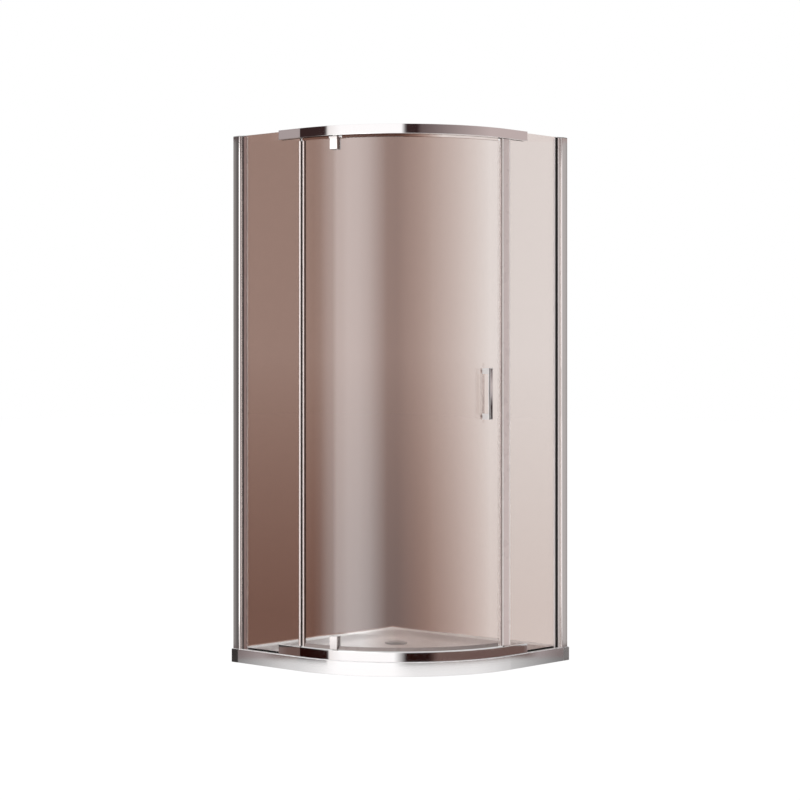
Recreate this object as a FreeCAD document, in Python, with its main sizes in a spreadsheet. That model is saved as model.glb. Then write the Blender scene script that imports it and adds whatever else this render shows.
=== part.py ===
import FreeCAD, Part
import Sketcher
import os
import re

# Quadrant corner shower enclosure: a low tray with a metal skirt, two flat glass panels in wall profiles,
# curved rails at the top and bottom, and one curved glass door that turns on two pivots.
# Millimetres and degrees. The origin is the corner of the room at floor level, with +Z up. The left panel
# starts at the wall x = 0 and runs along +X, and the right panel starts at the wall y = 0 and runs along -Y.
# "along" is the distance from a panel's own wall and "off" is the distance from the other wall, so that both
# sides share one set of formulas. Angles on the curve start at the left panel and end at the right panel.

SIZES = {
    # Tray
    "tray_side": 900,
    "tray_radius": 550,
    "tray_height": 51,
    "tray_rear_radius": 40,
    "rim_width": 52,
    "rim_round": 3,
    "basin_floor": 22,
    "basin_rear_radius": 70,
    "basin_side_radius": 40,
    "basin_round": 14,
    "dish_radius": 130,
    "dish_depth": 4,
    # Skirt round the front of the tray
    "skirt_thickness": 2.5,
    "skirt_clearance": 0.3,
    "skirt_reveal": 1,
    "skirt_cap_length": 34,
    "skirt_cap_proud": 0.6,
    "skirt_cap_bevel": 0.5,
    "seam": 0.2,
    # Waste
    "waste_setback": 200,
    "waste_bore_radius": 22.5,
    "waste_tail_radius": 26,
    "waste_flange_radius": 42,
    "waste_flange_thickness": 3,
    "waste_seal_thickness": 1.5,
    "waste_clearance": 0.4,
    "cover_radius": 44,
    "cover_wall": 2,
    "cover_edge": 3.5,
    "cover_rise": 5.5,
    "cover_gap": 3,
    "cover_seat_clearance": 0.2,
    "cover_foot_radius": 2.5,
    "cover_foot_circle": 33,
    "cover_foot_count": 4,
    # Wall profiles
    "frame_setback": 4,
    "enclosure_height": 1924,
    "pane_inset": 21,
    "channel_length": 38,
    "channel_wall": 2,
    "channel_crown": 6,
    "channel_bow": 130,
    "slide_clearance": 0.3,
    "adjuster_back": 15,
    "adjuster_reach": 13.5,
    "adjuster_wall": 2.4,
    "gasket_base": 4,
    "gasket_reach": 9,
    "gasket_inner_reach": 2.5,
    "gasket_lip": 2.5,
    "bead_width": 7.5,
    "profile_cap_thickness": 3,
    "glass_clearance": 0.2,
    "wall_screw_count": 4,
    "wall_screw_margin": 212,
    "wall_screw_radius": 2.75,
    "lock_screw_count": 3,
    "lock_screw_margin": 162,
    "lock_screw_radius": 2,
    "lock_screw_along": 27,
    "lock_head_radius": 3.6,
    "lock_head_height": 2.2,
    "lock_screw_clearance": 0.1,
    # Glass
    "glass_thickness": 8,
    "glass_bevel": 0.8,
    "left_pane_margin": 10,
    "right_pane_overlap": 12,
    "glass_sill": 6,
    "sill_lip": 1.5,
    # Rails
    "rail_depth": 30,
    "rail_height": 35,
    "rail_wall": 2,
    "rail_round": 1.2,
    "rail_rise": 4.5,
    "rail_run": 108,
    "rail_cap_thickness": 2.5,
    "slot_clearance": 1,
    "packer_clearance": 0.2,
    # Upright seals
    "seal_wall": 1.3,
    "seal_lower_gap": 3,
    "seal_upper_gap": 11,
    "strike_upper_gap": 1,
    "left_seal_grip": 6.5,
    "left_seal_nose": 3.5,
    "strike_grip": 32,
    "strike_nose": 15,
    "strike_rib": 1.2,
    "strike_rib_width": 6,
    # Door
    "door_gap": 10,
    "door_left_margin": 5,
    "door_right_margin": 33,
    "door_seal_grip": 9,
    "door_seal_nose": 3,
    "magnet_seal_grip": 11,
    "magnet_seal_nose": 3,
    "sweep_wall": 1.2,
    "sweep_grip": 5,
    "sweep_base": 2,
    "sweep_lip": 5.5,
    "sweep_lip_width": 1.6,
    "sweep_gap": 1.5,
    # Strips in the top rail that stop the door
    "stop_width": 5,
    "stop_drop": 10.5,
    "stop_clearance": 0.6,
    "stop_stem": 2,
    "stop_barb": 4,
    "stop_barb_height": 2,
    "stop_fit": 0.1,
    "stop_pivot_clearance": 23.5,
    # Pivots
    "pivot_angle": 16,
    "clamp_width": 31,
    "clamp_height": 47,
    "clamp_plate": 11,
    "clamp_bevel": 1.2,
    "clamp_gasket": 1.2,
    "clamp_web_gap": 0.8,
    "clamp_rail_gap": 3.8,
    "clamp_screw_radius": 3,
    "clamp_screw_depth": 7,
    "clamp_screw_drop": 26,
    "clamp_screw_spread": 16,
    "clamp_head_radius": 5,
    "clamp_head_height": 3,
    "clamp_hole_radius": 5,
    "screw_clearance": 0.1,
    "pin_radius": 4,
    "pin_clearance": 0.05,
    "pin_reach": 14,
    "bush_radius": 7,
    "bush_length": 16,
    "bush_flange_radius": 10.5,
    "bush_flange_clearance": 0.3,
    # Handle
    "handle_angle": 77.4,
    "handle_height": 1011,
    "handle_length": 186,
    "handle_width": 13,
    "handle_projection": 46,
    "handle_bar": 12,
    "handle_post": 21,
    "handle_round": 1.6,
    "handle_pad": 1.2,
    "handle_plate_width": 19,
    "handle_plate_thickness": 4,
    "handle_plate_round": 1,
    "handle_screw_radius": 3,
    "handle_screw_depth": 16,
    "handle_hole_radius": 5,
    "handle_head_radius": 5,
    "handle_head_height": 3,
    # How far every cutting shape runs past what it cuts
    "overrun": 1,
}

SIDES = ("left", "right")
VECTOR = FreeCAD.Vector
UPWARD = VECTOR(0, 0, 1)
QUARTER = "90"
SAME = 1e-4

doc = FreeCAD.newDocument("shower_enclosure")
sheet = doc.addObject("Spreadsheet::Sheet", "Sizes")
for row, (alias, size) in enumerate(SIZES.items(), 1):
    sheet.set(f"A{row}", alias)
    sheet.set(f"B{row}", str(size))
    sheet.setAlias(f"B{row}", alias)
doc.recompute()

ALIASES = re.compile(r"\b(" + "|".join(SIZES) + r")\b")
nodes = []

# Places that several pieces share, as formulas of the sizes
CENTRE = "(tray_side - tray_radius)"
FACE = "(tray_side - frame_setback)"
PANE = f"({FACE} - pane_inset)"
SHOULDER = f"({FACE} - channel_crown)"
INNER_FACE = f"({PANE} - pane_inset + channel_crown)"
CURVE = f"({PANE} - {CENTRE})"
GLASS_OUT = f"({CURVE} + glass_thickness / 2)"
GLASS_IN = f"({CURVE} - glass_thickness / 2)"
TOP = "(tray_height + enclosure_height)"
PROFILE_HEIGHT = "(enclosure_height - profile_cap_thickness)"
ADJUSTER_END = "(channel_length + adjuster_reach)"
ADJUSTER_HALF = "(pane_inset - channel_crown - channel_wall - slide_clearance)"
GASKET_START = "(adjuster_back + adjuster_wall)"
GASKET_END = f"({ADJUSTER_END} + gasket_reach)"
GASKET_INNER_END = f"({ADJUSTER_END} + gasket_inner_reach)"
PANE_START = f"({GASKET_START} + gasket_base)"
PANE_STOP = {"left": f"({CENTRE} - left_pane_margin)", "right": f"({CENTRE} + right_pane_overlap)"}
RAIL_END = f"({CENTRE} - rail_run)"
RAIL_LOW = {"top": f"({TOP} + rail_rise - rail_height)", "bottom": "tray_height"}
DOOR_TOP = f"({RAIL_LOW['top']} - door_gap)"
DOOR_BOTTOM = "(tray_height + rail_height + door_gap)"
SEAL_BOTTOM = "(tray_height + rail_height + seal_lower_gap)"
SEAL_HEIGHT = f"({RAIL_LOW['top']} - seal_upper_gap - {SEAL_BOTTOM})"
STRIKE_HEIGHT = f"({RAIL_LOW['top']} - strike_upper_gap - {SEAL_BOTTOM})"
WASTE_SEAT = "(basin_floor - dish_depth - waste_flange_thickness)"
ARC_PLACE = (CENTRE, f"-{CENTRE}", "0")
WASTE_PLACE = ("waste_setback", "-waste_setback", "0")

# A side's plan is drawn on the floor plane. Its cross-section is drawn on a plane square to the panel, and
# what goes through a profile's flange is drawn on a plane that lies along the panel.
SECTION_PLANE = {"left": "YZ_Plane", "right": "XZ_Plane"}
FLANGE_PLANE = {"left": "XZ_Plane", "right": "YZ_Plane"}


def formula(text):
    """A formula in the names of the sheet's cells, as the document's expressions want it."""
    return ALIASES.sub(r"Sizes.\1", text)


def number(text):
    """What a formula comes to now."""
    result = sheet.evalExpression(formula(text))
    return float(getattr(result, "Value", result))


def arc_angle(length):
    """The angle of a length measured along the middle of the curved glass."""
    return f"({length} / {CURVE} * 180 / pi)"


LEFT_EDGE = arc_angle("door_left_margin")
RIGHT_EDGE = f"({QUARTER} - {arc_angle('door_right_margin')})"


def plan_spot(side, along, off):
    """A point of one side's plan."""
    return (along, f"-({off})") if side == "left" else (off, f"-({along})")


def section_spot(side, off, height):
    """A point of one side's cross-section."""
    return (f"-({off})", height) if side == "left" else (off, height)


def flange_spot(side, along, height):
    """A point on the face of one side's profile."""
    return (along, height) if side == "left" else (f"-({along})", height)


def polar(radius, angle):
    """A point of the plan at a radius and angle from the centre of the curve."""
    return (f"{radius} * sin({angle})", f"-{radius} * cos({angle})")


def place(item, spot, turn=None):
    """Put an item at three formulas, turned about the upright axis by a fourth."""
    if turn is not None:
        item.Placement = FreeCAD.Placement(VECTOR(), FreeCAD.Rotation(UPWARD, number(turn)))
        item.setExpression("Placement.Rotation.Angle", formula(turn))
    for axis, text in zip("xyz", spot):
        item.setExpression(f"Placement.Base.{axis}", formula(text))


def new_body(label, spot=("0", "0", "0"), turn=None):
    """An empty body, which may hold several solids alike."""
    body = doc.addObject("PartDesign::Body", label)
    body.Label = label
    body.AllowCompound = True
    place(body, spot, turn)
    return body


def new_sketch(body, role, lift="0", shift="0"):
    """A sketch on one of the body's own planes, lifted along its normal and shifted along its first axis."""
    sketch = body.newObject("Sketcher::SketchObject", f"{body.Name}_sketch")
    sketch.AttachmentSupport = [(next(f for f in body.Origin.OriginFeatures if f.Role == role), "")]
    sketch.MapMode = "FlatFace"
    sketch.setExpression("AttachmentOffset.Base.z", formula(lift))
    sketch.setExpression("AttachmentOffset.Base.x", formula(shift))
    return sketch


def hold(sketch, kind, *target, text):
    """Set one measure of a sketch by a formula."""
    index = sketch.addConstraint(Sketcher.Constraint(kind, *target, number(text)))
    sketch.setExpression(f"Constraints[{index}]", formula(text))


def draw_loop(sketch, corners, bends=None):
    """A closed loop. bends maps an edge's number to its radius, centre and whether it turns anticlockwise."""
    bends = bends or {}
    spots = [VECTOR(number(x), number(y), 0) for x, y in corners]
    ends = []
    for edge, start in enumerate(spots):
        stop = spots[(edge + 1) % len(spots)]
        if edge in bends:
            radius, centre, anticlockwise = bends[edge]
            circle = Part.Circle(VECTOR(number(centre[0]), number(centre[1]), 0), UPWARD, number(radius))
            points = (start, stop) if anticlockwise else (stop, start)
            shape = Part.Arc(circle, *[circle.parameter(point) for point in points])
            ends.append((1, 2) if anticlockwise else (2, 1))
        else:
            shape = Part.LineSegment(start, stop)
            ends.append((1, 2))
        ends[-1] = (sketch.addGeometry(shape), *ends[-1])
    for edge, (shape, first, last) in enumerate(ends):
        following, its_first, _ = ends[(edge + 1) % len(ends)]
        sketch.addConstraint(Sketcher.Constraint("Coincident", shape, last, following, its_first))
        hold(sketch, "DistanceX", shape, first, text=corners[edge][0])
        hold(sketch, "DistanceY", shape, first, text=corners[edge][1])
        if edge in bends:
            hold(sketch, "Radius", shape, text=bends[edge][0])


def draw_circle(sketch, spot, radius):
    """A circle held at its centre and radius."""
    centre = VECTOR(number(spot[0]), number(spot[1]), 0)
    shape = sketch.addGeometry(Part.Circle(centre, UPWARD, number(radius)))
    hold(sketch, "DistanceX", shape, 3, text=spot[0])
    hold(sketch, "DistanceY", shape, 3, text=spot[1])
    hold(sketch, "Radius", shape, text=radius)


def add_feature(body, kind, sketch, **sizes):
    """A feature of a sketch, with its sizes as formulas."""
    feature = body.newObject(f"PartDesign::{kind}", f"{body.Name}_{kind}")
    feature.Profile = sketch
    for name, text in sizes.items():
        feature.setExpression(name, formula(text))
    sketch.Visibility = False
    return feature


def turn_profile(body, kind, sketch, angle="360"):
    """A revolved feature about the sketch's own upright axis."""
    feature = add_feature(body, kind, sketch)
    feature.ReferenceAxis = (sketch, ["V_Axis"])
    feature.setExpression("Angle", formula(angle))
    return feature


def dress_edges(body, kind, size, wanted):
    """A Fillet or a Chamfer on those edges of the body so far that the test picks."""
    doc.recompute()
    last = body.Tip
    names = [f"Edge{n}" for n, edge in enumerate(last.Shape.Edges, 1) if wanted(edge.BoundBox)]
    feature = body.newObject(f"PartDesign::{kind}", f"{body.Name}_{kind}")
    feature.Base = (last, names)
    feature.setExpression("Radius" if kind == "Fillet" else "Size", formula(size))


def level(low, high, text):
    """Whether an edge's two limits on one axis are both at a formula's value."""
    value = number(text)
    return abs(low - value) < SAME and abs(high - value) < SAME


def drill(body, role, spots, lift, depth, radius):
    """Round holes, cut from the lifted plane back against its normal."""
    sketch = new_sketch(body, role, lift)
    for spot in spots:
        draw_circle(sketch, spot, radius)
    add_feature(body, "Pocket", sketch, Length=depth)


def pegs(label, role, spots, steps, spot=("0", "0", "0"), turn=None):
    """Stepped round pegs, one at each spot. A step is its lift, length and radius."""
    body = new_body(label, spot, turn)
    for lift, length, radius in steps:
        sketch = new_sketch(body, role, lift)
        for centre in spots:
            draw_circle(sketch, centre, radius)
        add_feature(body, "Pad", sketch, Length=length)
    return body


def plan_pad(label, corners, low, height, bends=None, spot=("0", "0", "0"), turn=None):
    """A plan outline raised from a level."""
    body = new_body(label, spot, turn)
    sketch = new_sketch(body, "XY_Plane", low)
    draw_loop(sketch, corners, bends)
    add_feature(body, "Pad", sketch, Length=height)
    return body


def side_plan(label, side, corners, low, height, bulges=None):
    """A piece of one side with one plan all the way up. bulges maps a convex edge to radius and centre."""
    bends = {edge: (radius, plan_spot(side, *centre), side == "left")
             for edge, (radius, centre) in (bulges or {}).items()}
    return plan_pad(label, [plan_spot(side, along, off) for along, off in corners], low, height, bends)


def side_section(label, side, corners, start, length):
    """A piece of one side with the same cross-section all along."""
    body = new_body(label)
    sketch = new_sketch(body, SECTION_PLANE[side], start)
    draw_loop(sketch, [section_spot(side, off, height) for off, height in corners])
    add_feature(body, "Pad", sketch, Length=length)
    return body


def sector(label, inner, outer, start, stop, low, height):
    """A curved slab between two radii and two angles."""
    corners = [polar(outer, start), polar(outer, stop), polar(inner, stop), polar(inner, start)]
    bends = {0: (outer, ("0", "0"), True), 2: (inner, ("0", "0"), False)}
    return plan_pad(label, corners, low, height, bends, ARC_PLACE)


def band(label, outer, inner, end, low, height):
    """A band that runs straight, round the curve and straight again, between two distances off the walls."""
    corners = [(end, f"-{outer}"), (CENTRE, f"-{outer}"), (outer, f"-{CENTRE}"), (outer, f"-{end}"),
               (inner, f"-{end}"), (inner, f"-{CENTRE}"), (CENTRE, f"-{inner}"), (end, f"-{inner}")]
    middle = (CENTRE, f"-{CENTRE}")
    bends = {1: (f"({outer} - {CENTRE})", middle, True), 5: (f"({inner} - {CENTRE})", middle, False)}
    return plan_pad(label, corners, low, height, bends)


def radial_block(label, turn, corners, width):
    """A block drawn in radius and height, as wide as given across the radius at its angle."""
    body = new_body(label, ARC_PLACE, turn)
    sketch = new_sketch(body, "YZ_Plane", f"-{width} / 2")
    draw_loop(sketch, [(f"-({radius})", height) for radius, height in corners])
    add_feature(body, "Pad", sketch, Length=width)
    return body


def chord(radius, width):
    """How far from the centre of the curve a chord of a circle lies."""
    return f"sqrt({radius}^2 - ({width} / 2)^2)"


def outer_pad(sketch_body, width, thickness, low, height):
    """A pad between the outside of the curved glass and a flat face, added to a body turned to its angle."""
    sketch = new_sketch(sketch_body, "XY_Plane", low)
    near, flat = chord(GLASS_OUT, width), f"({GLASS_OUT} + {thickness})"
    half = f"{width} / 2"
    corners = [(f"-{half}", f"-{near}"), (half, f"-{near}"), (half, f"-{flat}"), (f"-{half}", f"-{flat}")]
    draw_loop(sketch, corners, {0: (GLASS_OUT, ("0", "0"), True)})
    add_feature(sketch_body, "Pad", sketch, Length=height)


def inner_pad(sketch_body, width, thickness, low, height):
    """A pad between the inside of the curved glass and a flat face, added to a body turned to its angle."""
    sketch = new_sketch(sketch_body, "XY_Plane", low)
    near, flat = chord(GLASS_IN, width), inner_flat(width, thickness)
    half = f"{width} / 2"
    corners = [(f"-{half}", f"-{flat}"), (half, f"-{flat}"), (half, f"-{near}"), (f"-{half}", f"-{near}")]
    draw_loop(sketch, corners, {2: (GLASS_IN, ("0", "0"), False)})
    add_feature(sketch_body, "Pad", sketch, Length=height)


def inner_flat(width, thickness):
    """The radius of the flat face of an inner pad."""
    return f"({chord(GLASS_IN, width)} - {thickness})"


def cut(label, base, tools):
    """A base with every tool taken out of it."""
    for step, tool in enumerate(tools, 1):
        result = doc.addObject("Part::Cut", f"{label}_cut_{step}")
        result.Base = base
        result.Tool = tool
        base = result
    return base


def finish(item, label):
    """Name a finished piece of the object."""
    item.Label = label
    nodes.append(item)
    return item


def make_tray():
    """The tray: a flat slab with a rounded basin, a dish that falls to the waste and the waste's seat."""
    front = "(tray_side - skirt_thickness - skirt_clearance)"
    rear = "tray_rear_radius"
    outline = [("0", f"-{rear}"), ("0", f"-{front}"), (CENTRE, f"-{front}"), (front, f"-{CENTRE}"),
               (front, "0"), (rear, "0")]
    bends = {2: (f"({front} - {CENTRE})", (CENTRE, f"-{CENTRE}"), True), 5: (rear, (rear, f"-{rear}"), True)}
    body = plan_pad("shower_tray", outline, "0", "tray_height", bends)

    near, far = "rim_width", "(tray_side - rim_width)"
    side, back = "basin_side_radius", "basin_rear_radius"
    side_near, side_far = f"({near} + {side})", f"({far} - {side})"
    back_near = f"({near} + {back})"
    basin = [(near, f"-{back_near}"), (near, f"-{side_far}"), (side_near, f"-{far}"), (CENTRE, f"-{far}"),
             (far, f"-{CENTRE}"), (far, f"-{side_near}"), (side_far, f"-{near}"), (back_near, f"-{near}")]
    bends = {1: (side, (side_near, f"-{side_far}"), True),
             3: (f"({far} - {CENTRE})", (CENTRE, f"-{CENTRE}"), True),
             5: (side, (side_far, f"-{side_near}"), True),
             7: (back, (back_near, f"-{back_near}"), True)}
    sketch = new_sketch(body, "XY_Plane", "tray_height")
    draw_loop(sketch, basin, bends)
    add_feature(body, "Pocket", sketch, Length="tray_height - basin_floor")
    dress_edges(body, "Fillet", "basin_round", lambda box: level(box.ZMin, box.ZMax, "basin_floor"))
    reach = number(near) - SAME
    dress_edges(body, "Fillet", "rim_round", lambda box: level(box.ZMin, box.ZMax, "tray_height")
                and box.XMin > reach and box.YMax < -reach)

    dish = new_sketch(body, "XZ_Plane", "waste_setback", "waste_setback")
    draw_loop(dish, [("0", "basin_floor - dish_depth"), ("dish_radius", "basin_floor"), ("0", "basin_floor")])
    turn_profile(body, "Groove", dish)
    centre = [("waste_setback", "-waste_setback")]
    seat = f"(tray_height - {WASTE_SEAT} + waste_seal_thickness)"
    drill(body, "XY_Plane", centre, "tray_height", seat, "waste_flange_radius + waste_clearance")
    drill(body, "XY_Plane", centre, "tray_height", "tray_height", "waste_tail_radius + waste_clearance")
    finish(body, "shower_tray")


def make_skirt():
    """The metal skirt round the tray's front, and the plastic cap that ends it at each wall."""
    low, height = "skirt_reveal", "tray_height - 2 * skirt_reveal"
    back = "(tray_side - skirt_thickness)"
    finish(band("tray_skirt", "tray_side", back, "(skirt_cap_length + seam)", low, height), "tray_skirt")
    proud = "(tray_side + skirt_cap_proud)"
    for side in SIDES:
        corners = [("0", back), ("skirt_cap_length", back),
                   ("skirt_cap_length", f"{proud} - skirt_cap_bevel"),
                   ("skirt_cap_length - skirt_cap_bevel", proud), ("0", proud)]
        finish(side_plan(f"skirt_cap_{side}", side, corners, low, height), f"skirt_cap_{side}")


def make_waste():
    """The waste: a flanged body with its outlet, a seal ring under the flange and a lift-out domed cover."""
    flange_top = f"({WASTE_SEAT} + waste_flange_thickness)"
    body = new_body("waste_body", WASTE_PLACE)
    sketch = new_sketch(body, "XZ_Plane")
    draw_loop(sketch, [("waste_bore_radius", "0"), ("waste_tail_radius", "0"),
                       ("waste_tail_radius", WASTE_SEAT), ("waste_flange_radius", WASTE_SEAT),
                       ("waste_flange_radius", flange_top), ("waste_bore_radius", flange_top)])
    turn_profile(body, "Revolution", sketch)
    finish(body, "waste_body")

    seal = new_body("waste_seal", WASTE_PLACE)
    sketch = new_sketch(seal, "XY_Plane", f"{WASTE_SEAT} - waste_seal_thickness")
    draw_circle(sketch, ("0", "0"), "waste_flange_radius")
    draw_circle(sketch, ("0", "0"), "waste_tail_radius + waste_clearance")
    add_feature(seal, "Pad", sketch, Length="waste_seal_thickness")
    finish(seal, "waste_seal")

    cover = new_body("waste_cover", WASTE_PLACE)
    lip = f"({flange_top} + cover_gap)"
    under = f"({lip} + cover_edge)"
    crown = f"({under} + cover_rise)"
    dome = "((cover_radius^2 + cover_rise^2) / (2 * cover_rise))"
    inside = "cover_radius - cover_wall"
    sketch = new_sketch(cover, "XZ_Plane")
    draw_loop(sketch, [("0", under), (inside, under), (inside, lip), ("cover_radius", lip),
                       ("cover_radius", under), ("0", crown)], {4: (dome, ("0", f"{crown} - {dome}"), True)})
    turn_profile(cover, "Revolution", sketch)
    foot = f"({flange_top} + cover_seat_clearance)"
    sketch = new_sketch(cover, "XY_Plane", foot)
    draw_circle(sketch, ("cover_foot_circle", "0"), "cover_foot_radius")
    leg = add_feature(cover, "Pad", sketch, Length=f"{under} - {foot}")
    doc.recompute()
    ring = cover.newObject("PartDesign::PolarPattern", "waste_cover_feet")
    ring.Originals = [leg]
    ring.Axis = (sketch, ["N_Axis"])
    ring.Angle = 360
    ring.setExpression("Occurrences", formula("cover_foot_count"))
    cover.Tip = ring
    finish(cover, "waste_cover")


def screw_heights(kind):
    """The heights of a row of screws, spread evenly up a wall profile between its two margins."""
    count = round(number(f"{kind}_screw_count"))
    pitch = f"(enclosure_height - 2 * {kind}_screw_margin) / ({kind}_screw_count - 1)"
    return [f"(tray_height + {kind}_screw_margin + {index} * {pitch})" for index in range(count)]


def make_wall_profiles(side):
    """A wall channel with a round edge, the adjusting profile in it, gasket, beads, cap and screws."""
    web = "(channel_wall + overrun)"
    inner_wall = f"({INNER_FACE} + channel_wall)"
    lock_spots = [flange_spot(side, "lock_screw_along", height) for height in screw_heights("lock")]
    lock_hole = "lock_screw_radius + lock_screw_clearance"

    bow_end = "(channel_length - channel_crown)"
    bow_start = f"({FACE} - channel_bow + sqrt(channel_bow^2 - {bow_end}^2))"
    crown = {0: ("channel_bow", (bow_end, f"{FACE} - channel_bow")),
             1: ("channel_crown", (bow_end, SHOULDER))}
    face = [("0", bow_start), (bow_end, FACE), ("channel_length", SHOULDER)]
    outer_wall = f"({SHOULDER} - channel_wall)"
    corners = [*face, ("channel_length", outer_wall), ("channel_wall", outer_wall),
               ("channel_wall", inner_wall), ("channel_length", inner_wall), ("channel_length", INNER_FACE),
               ("0", INNER_FACE)]
    channel = side_plan(f"wall_channel_{side}", side, corners, "tray_height", PROFILE_HEIGHT, crown)
    wall_spots = [section_spot(side, PANE, height) for height in screw_heights("wall")]
    drill(channel, SECTION_PLANE[side], wall_spots, web, f"{web} + overrun", "wall_screw_radius")
    drill(channel, FLANGE_PLANE[side], lock_spots, f"{inner_wall} + overrun", "channel_wall + 2 * overrun",
          lock_hole)
    finish(channel, f"wall_channel_{side}")

    high, low = f"({PANE} + {ADJUSTER_HALF})", f"({PANE} - {ADJUSTER_HALF})"
    high_in, low_in = f"({high} - adjuster_wall)", f"({low} + adjuster_wall)"
    corners = [("adjuster_back", high), (ADJUSTER_END, high), (ADJUSTER_END, high_in),
               (GASKET_START, high_in), (GASKET_START, low_in), (ADJUSTER_END, low_in), (ADJUSTER_END, low),
               ("adjuster_back", low)]
    adjuster = side_plan(f"adjusting_profile_{side}", side, corners, "tray_height", PROFILE_HEIGHT)
    drill(adjuster, FLANGE_PLANE[side], lock_spots, f"{low_in} + overrun", "adjuster_wall + 2 * overrun",
          lock_hole)
    finish(adjuster, f"adjusting_profile_{side}")

    pane_high, pane_low = f"({PANE} + glass_thickness / 2)", f"({PANE} - glass_thickness / 2)"
    corners = [(GASKET_START, high_in), (ADJUSTER_END, high_in), (GASKET_END, f"{pane_high} + gasket_lip"),
               (GASKET_END, pane_high), (PANE_START, pane_high), (PANE_START, pane_low),
               (GASKET_INNER_END, pane_low), (GASKET_INNER_END, f"{pane_low} - gasket_lip"),
               (ADJUSTER_END, low_in), (GASKET_START, low_in)]
    gasket = side_plan(f"glazing_gasket_{side}", side, corners, "tray_height", PROFILE_HEIGHT)
    finish(gasket, f"glazing_gasket_{side}")

    beads = new_body(f"glazing_beads_{side}")
    for start, flat, lip in ((GASKET_END, pane_high, f"{pane_high} + gasket_lip"),
                             (GASKET_INNER_END, pane_low, f"{pane_low} - gasket_lip")):
        sketch = new_sketch(beads, "XY_Plane", "tray_height")
        corners = [(start, lip), (f"{start} + bead_width", flat), (start, flat)]
        draw_loop(sketch, [plan_spot(side, along, off) for along, off in corners])
        add_feature(beads, "Pad", sketch, Length=PROFILE_HEIGHT)
    finish(beads, f"glazing_beads_{side}")

    slot = f"{PANE_START} - glass_clearance"
    slot_high, slot_low = f"{pane_high} + glass_clearance", f"{pane_low} - glass_clearance"
    corners = [*face, ("channel_length", high), (ADJUSTER_END, high), (ADJUSTER_END, slot_high),
               (slot, slot_high), (slot, slot_low), (ADJUSTER_END, slot_low), (ADJUSTER_END, low),
               ("channel_length", low), ("channel_length", INNER_FACE), ("0", INNER_FACE)]
    cap = side_plan(f"profile_cap_{side}", side, corners, f"{TOP} - profile_cap_thickness",
                    "profile_cap_thickness", crown)
    finish(cap, f"profile_cap_{side}")

    head = (f"{INNER_FACE} - lock_head_height", "lock_head_height", "lock_head_radius")
    shank = (INNER_FACE, "channel_wall + slide_clearance + adjuster_wall", "lock_screw_radius")
    screws = pegs(f"locking_screws_{side}", FLANGE_PLANE[side], lock_spots, (head, shank))
    finish(screws, f"locking_screws_{side}")


def make_fixed_pane(side):
    """A flat fixed pane with bevelled upright edges, the sill seal under it and the seal on its free edge."""
    high, low = f"({PANE} + glass_thickness / 2)", f"({PANE} - glass_thickness / 2)"
    stop = PANE_STOP[side]
    bottom = "(tray_height + glass_sill)"
    corners = [(PANE_START, high), (f"{stop} - glass_bevel", high), (stop, f"{high} - glass_bevel"),
               (stop, f"{low} + glass_bevel"), (f"{stop} - glass_bevel", low), (PANE_START, low)]
    pane = side_plan(f"fixed_glass_{side}", side, corners, bottom, f"{TOP} - {bottom}")
    finish(pane, f"fixed_glass_{side}")

    corners = [(f"{high} + sill_lip", "tray_height"), (f"{high} + sill_lip", bottom),
               (f"{low} - sill_lip", bottom), (f"{low} - sill_lip", "tray_height")]
    start, end = f"({GASKET_END} + bead_width + seam)", f"({RAIL_END} - rail_cap_thickness - seam)"
    sill = side_section(f"sill_seal_{side}", side, corners, start, f"{end} - {start}")
    finish(sill, f"sill_seal_{side}")


def clip_corners(start, edge, tip, high, low, wall):
    """The plan of a seal on a pane's edge: where its grip starts, the glass edge and the seal's tip."""
    return [(start, f"{high} + {wall}"), (tip, f"{high} + {wall}"), (tip, f"{low} - {wall}"),
            (start, f"{low} - {wall}"), (start, low), (edge, low), (edge, high), (start, high)]


def make_pane_seals():
    """The clip seal on the left pane's free edge, and the wide ribbed strike seal on the right pane's."""
    high, low = f"({PANE} + glass_thickness / 2)", f"({PANE} - glass_thickness / 2)"
    stop = PANE_STOP["left"]
    corners = clip_corners(f"{stop} - left_seal_grip", stop, f"{stop} + left_seal_nose", high, low,
                           "seal_wall")
    seal = side_plan("pane_seal_left", "left", corners, SEAL_BOTTOM, SEAL_HEIGHT)
    finish(seal, "pane_seal_left")

    stop = PANE_STOP["right"]
    start, tip = f"({stop} - strike_grip)", f"({stop} + strike_nose)"
    skin, crest = f"({high} + seal_wall)", f"({high} + seal_wall + strike_rib)"
    corners = [(start, crest), (f"{start} + strike_rib_width", crest), (f"{start} + strike_rib_width", skin),
               (f"{tip} - strike_rib_width", skin), (f"{tip} - strike_rib_width", crest), (tip, crest),
               (tip, f"{low} - seal_wall"), (start, f"{low} - seal_wall"), (start, low), (stop, low),
               (stop, high), (start, high)]
    strike = side_plan("strike_seal_right", "right", corners, SEAL_BOTTOM, STRIKE_HEIGHT)
    finish(strike, "strike_seal_right")


def pivot_peg(label, radius, low, height):
    """An upright round peg on the door's pivot axis."""
    body = new_body(label, ARC_PLACE, "pivot_angle")
    sketch = new_sketch(body, "XY_Plane", low)
    draw_circle(sketch, ("0", f"-{CURVE}"), radius)
    add_feature(body, "Pad", sketch, Length=height)
    return body


def stop_spans():
    """Each strip's middle radius, start and end: outside the door's short part, inside its long part."""
    clear = arc_angle("stop_pivot_clearance")
    away = "(stop_clearance + stop_width / 2)"
    return {"stop_strip_short": (f"({GLASS_OUT} + {away})", LEFT_EDGE, f"(pivot_angle - {clear})"),
            "stop_strip_long": (f"({GLASS_IN} - {away})", f"(pivot_angle + {clear})", RIGHT_EDGE)}


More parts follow.
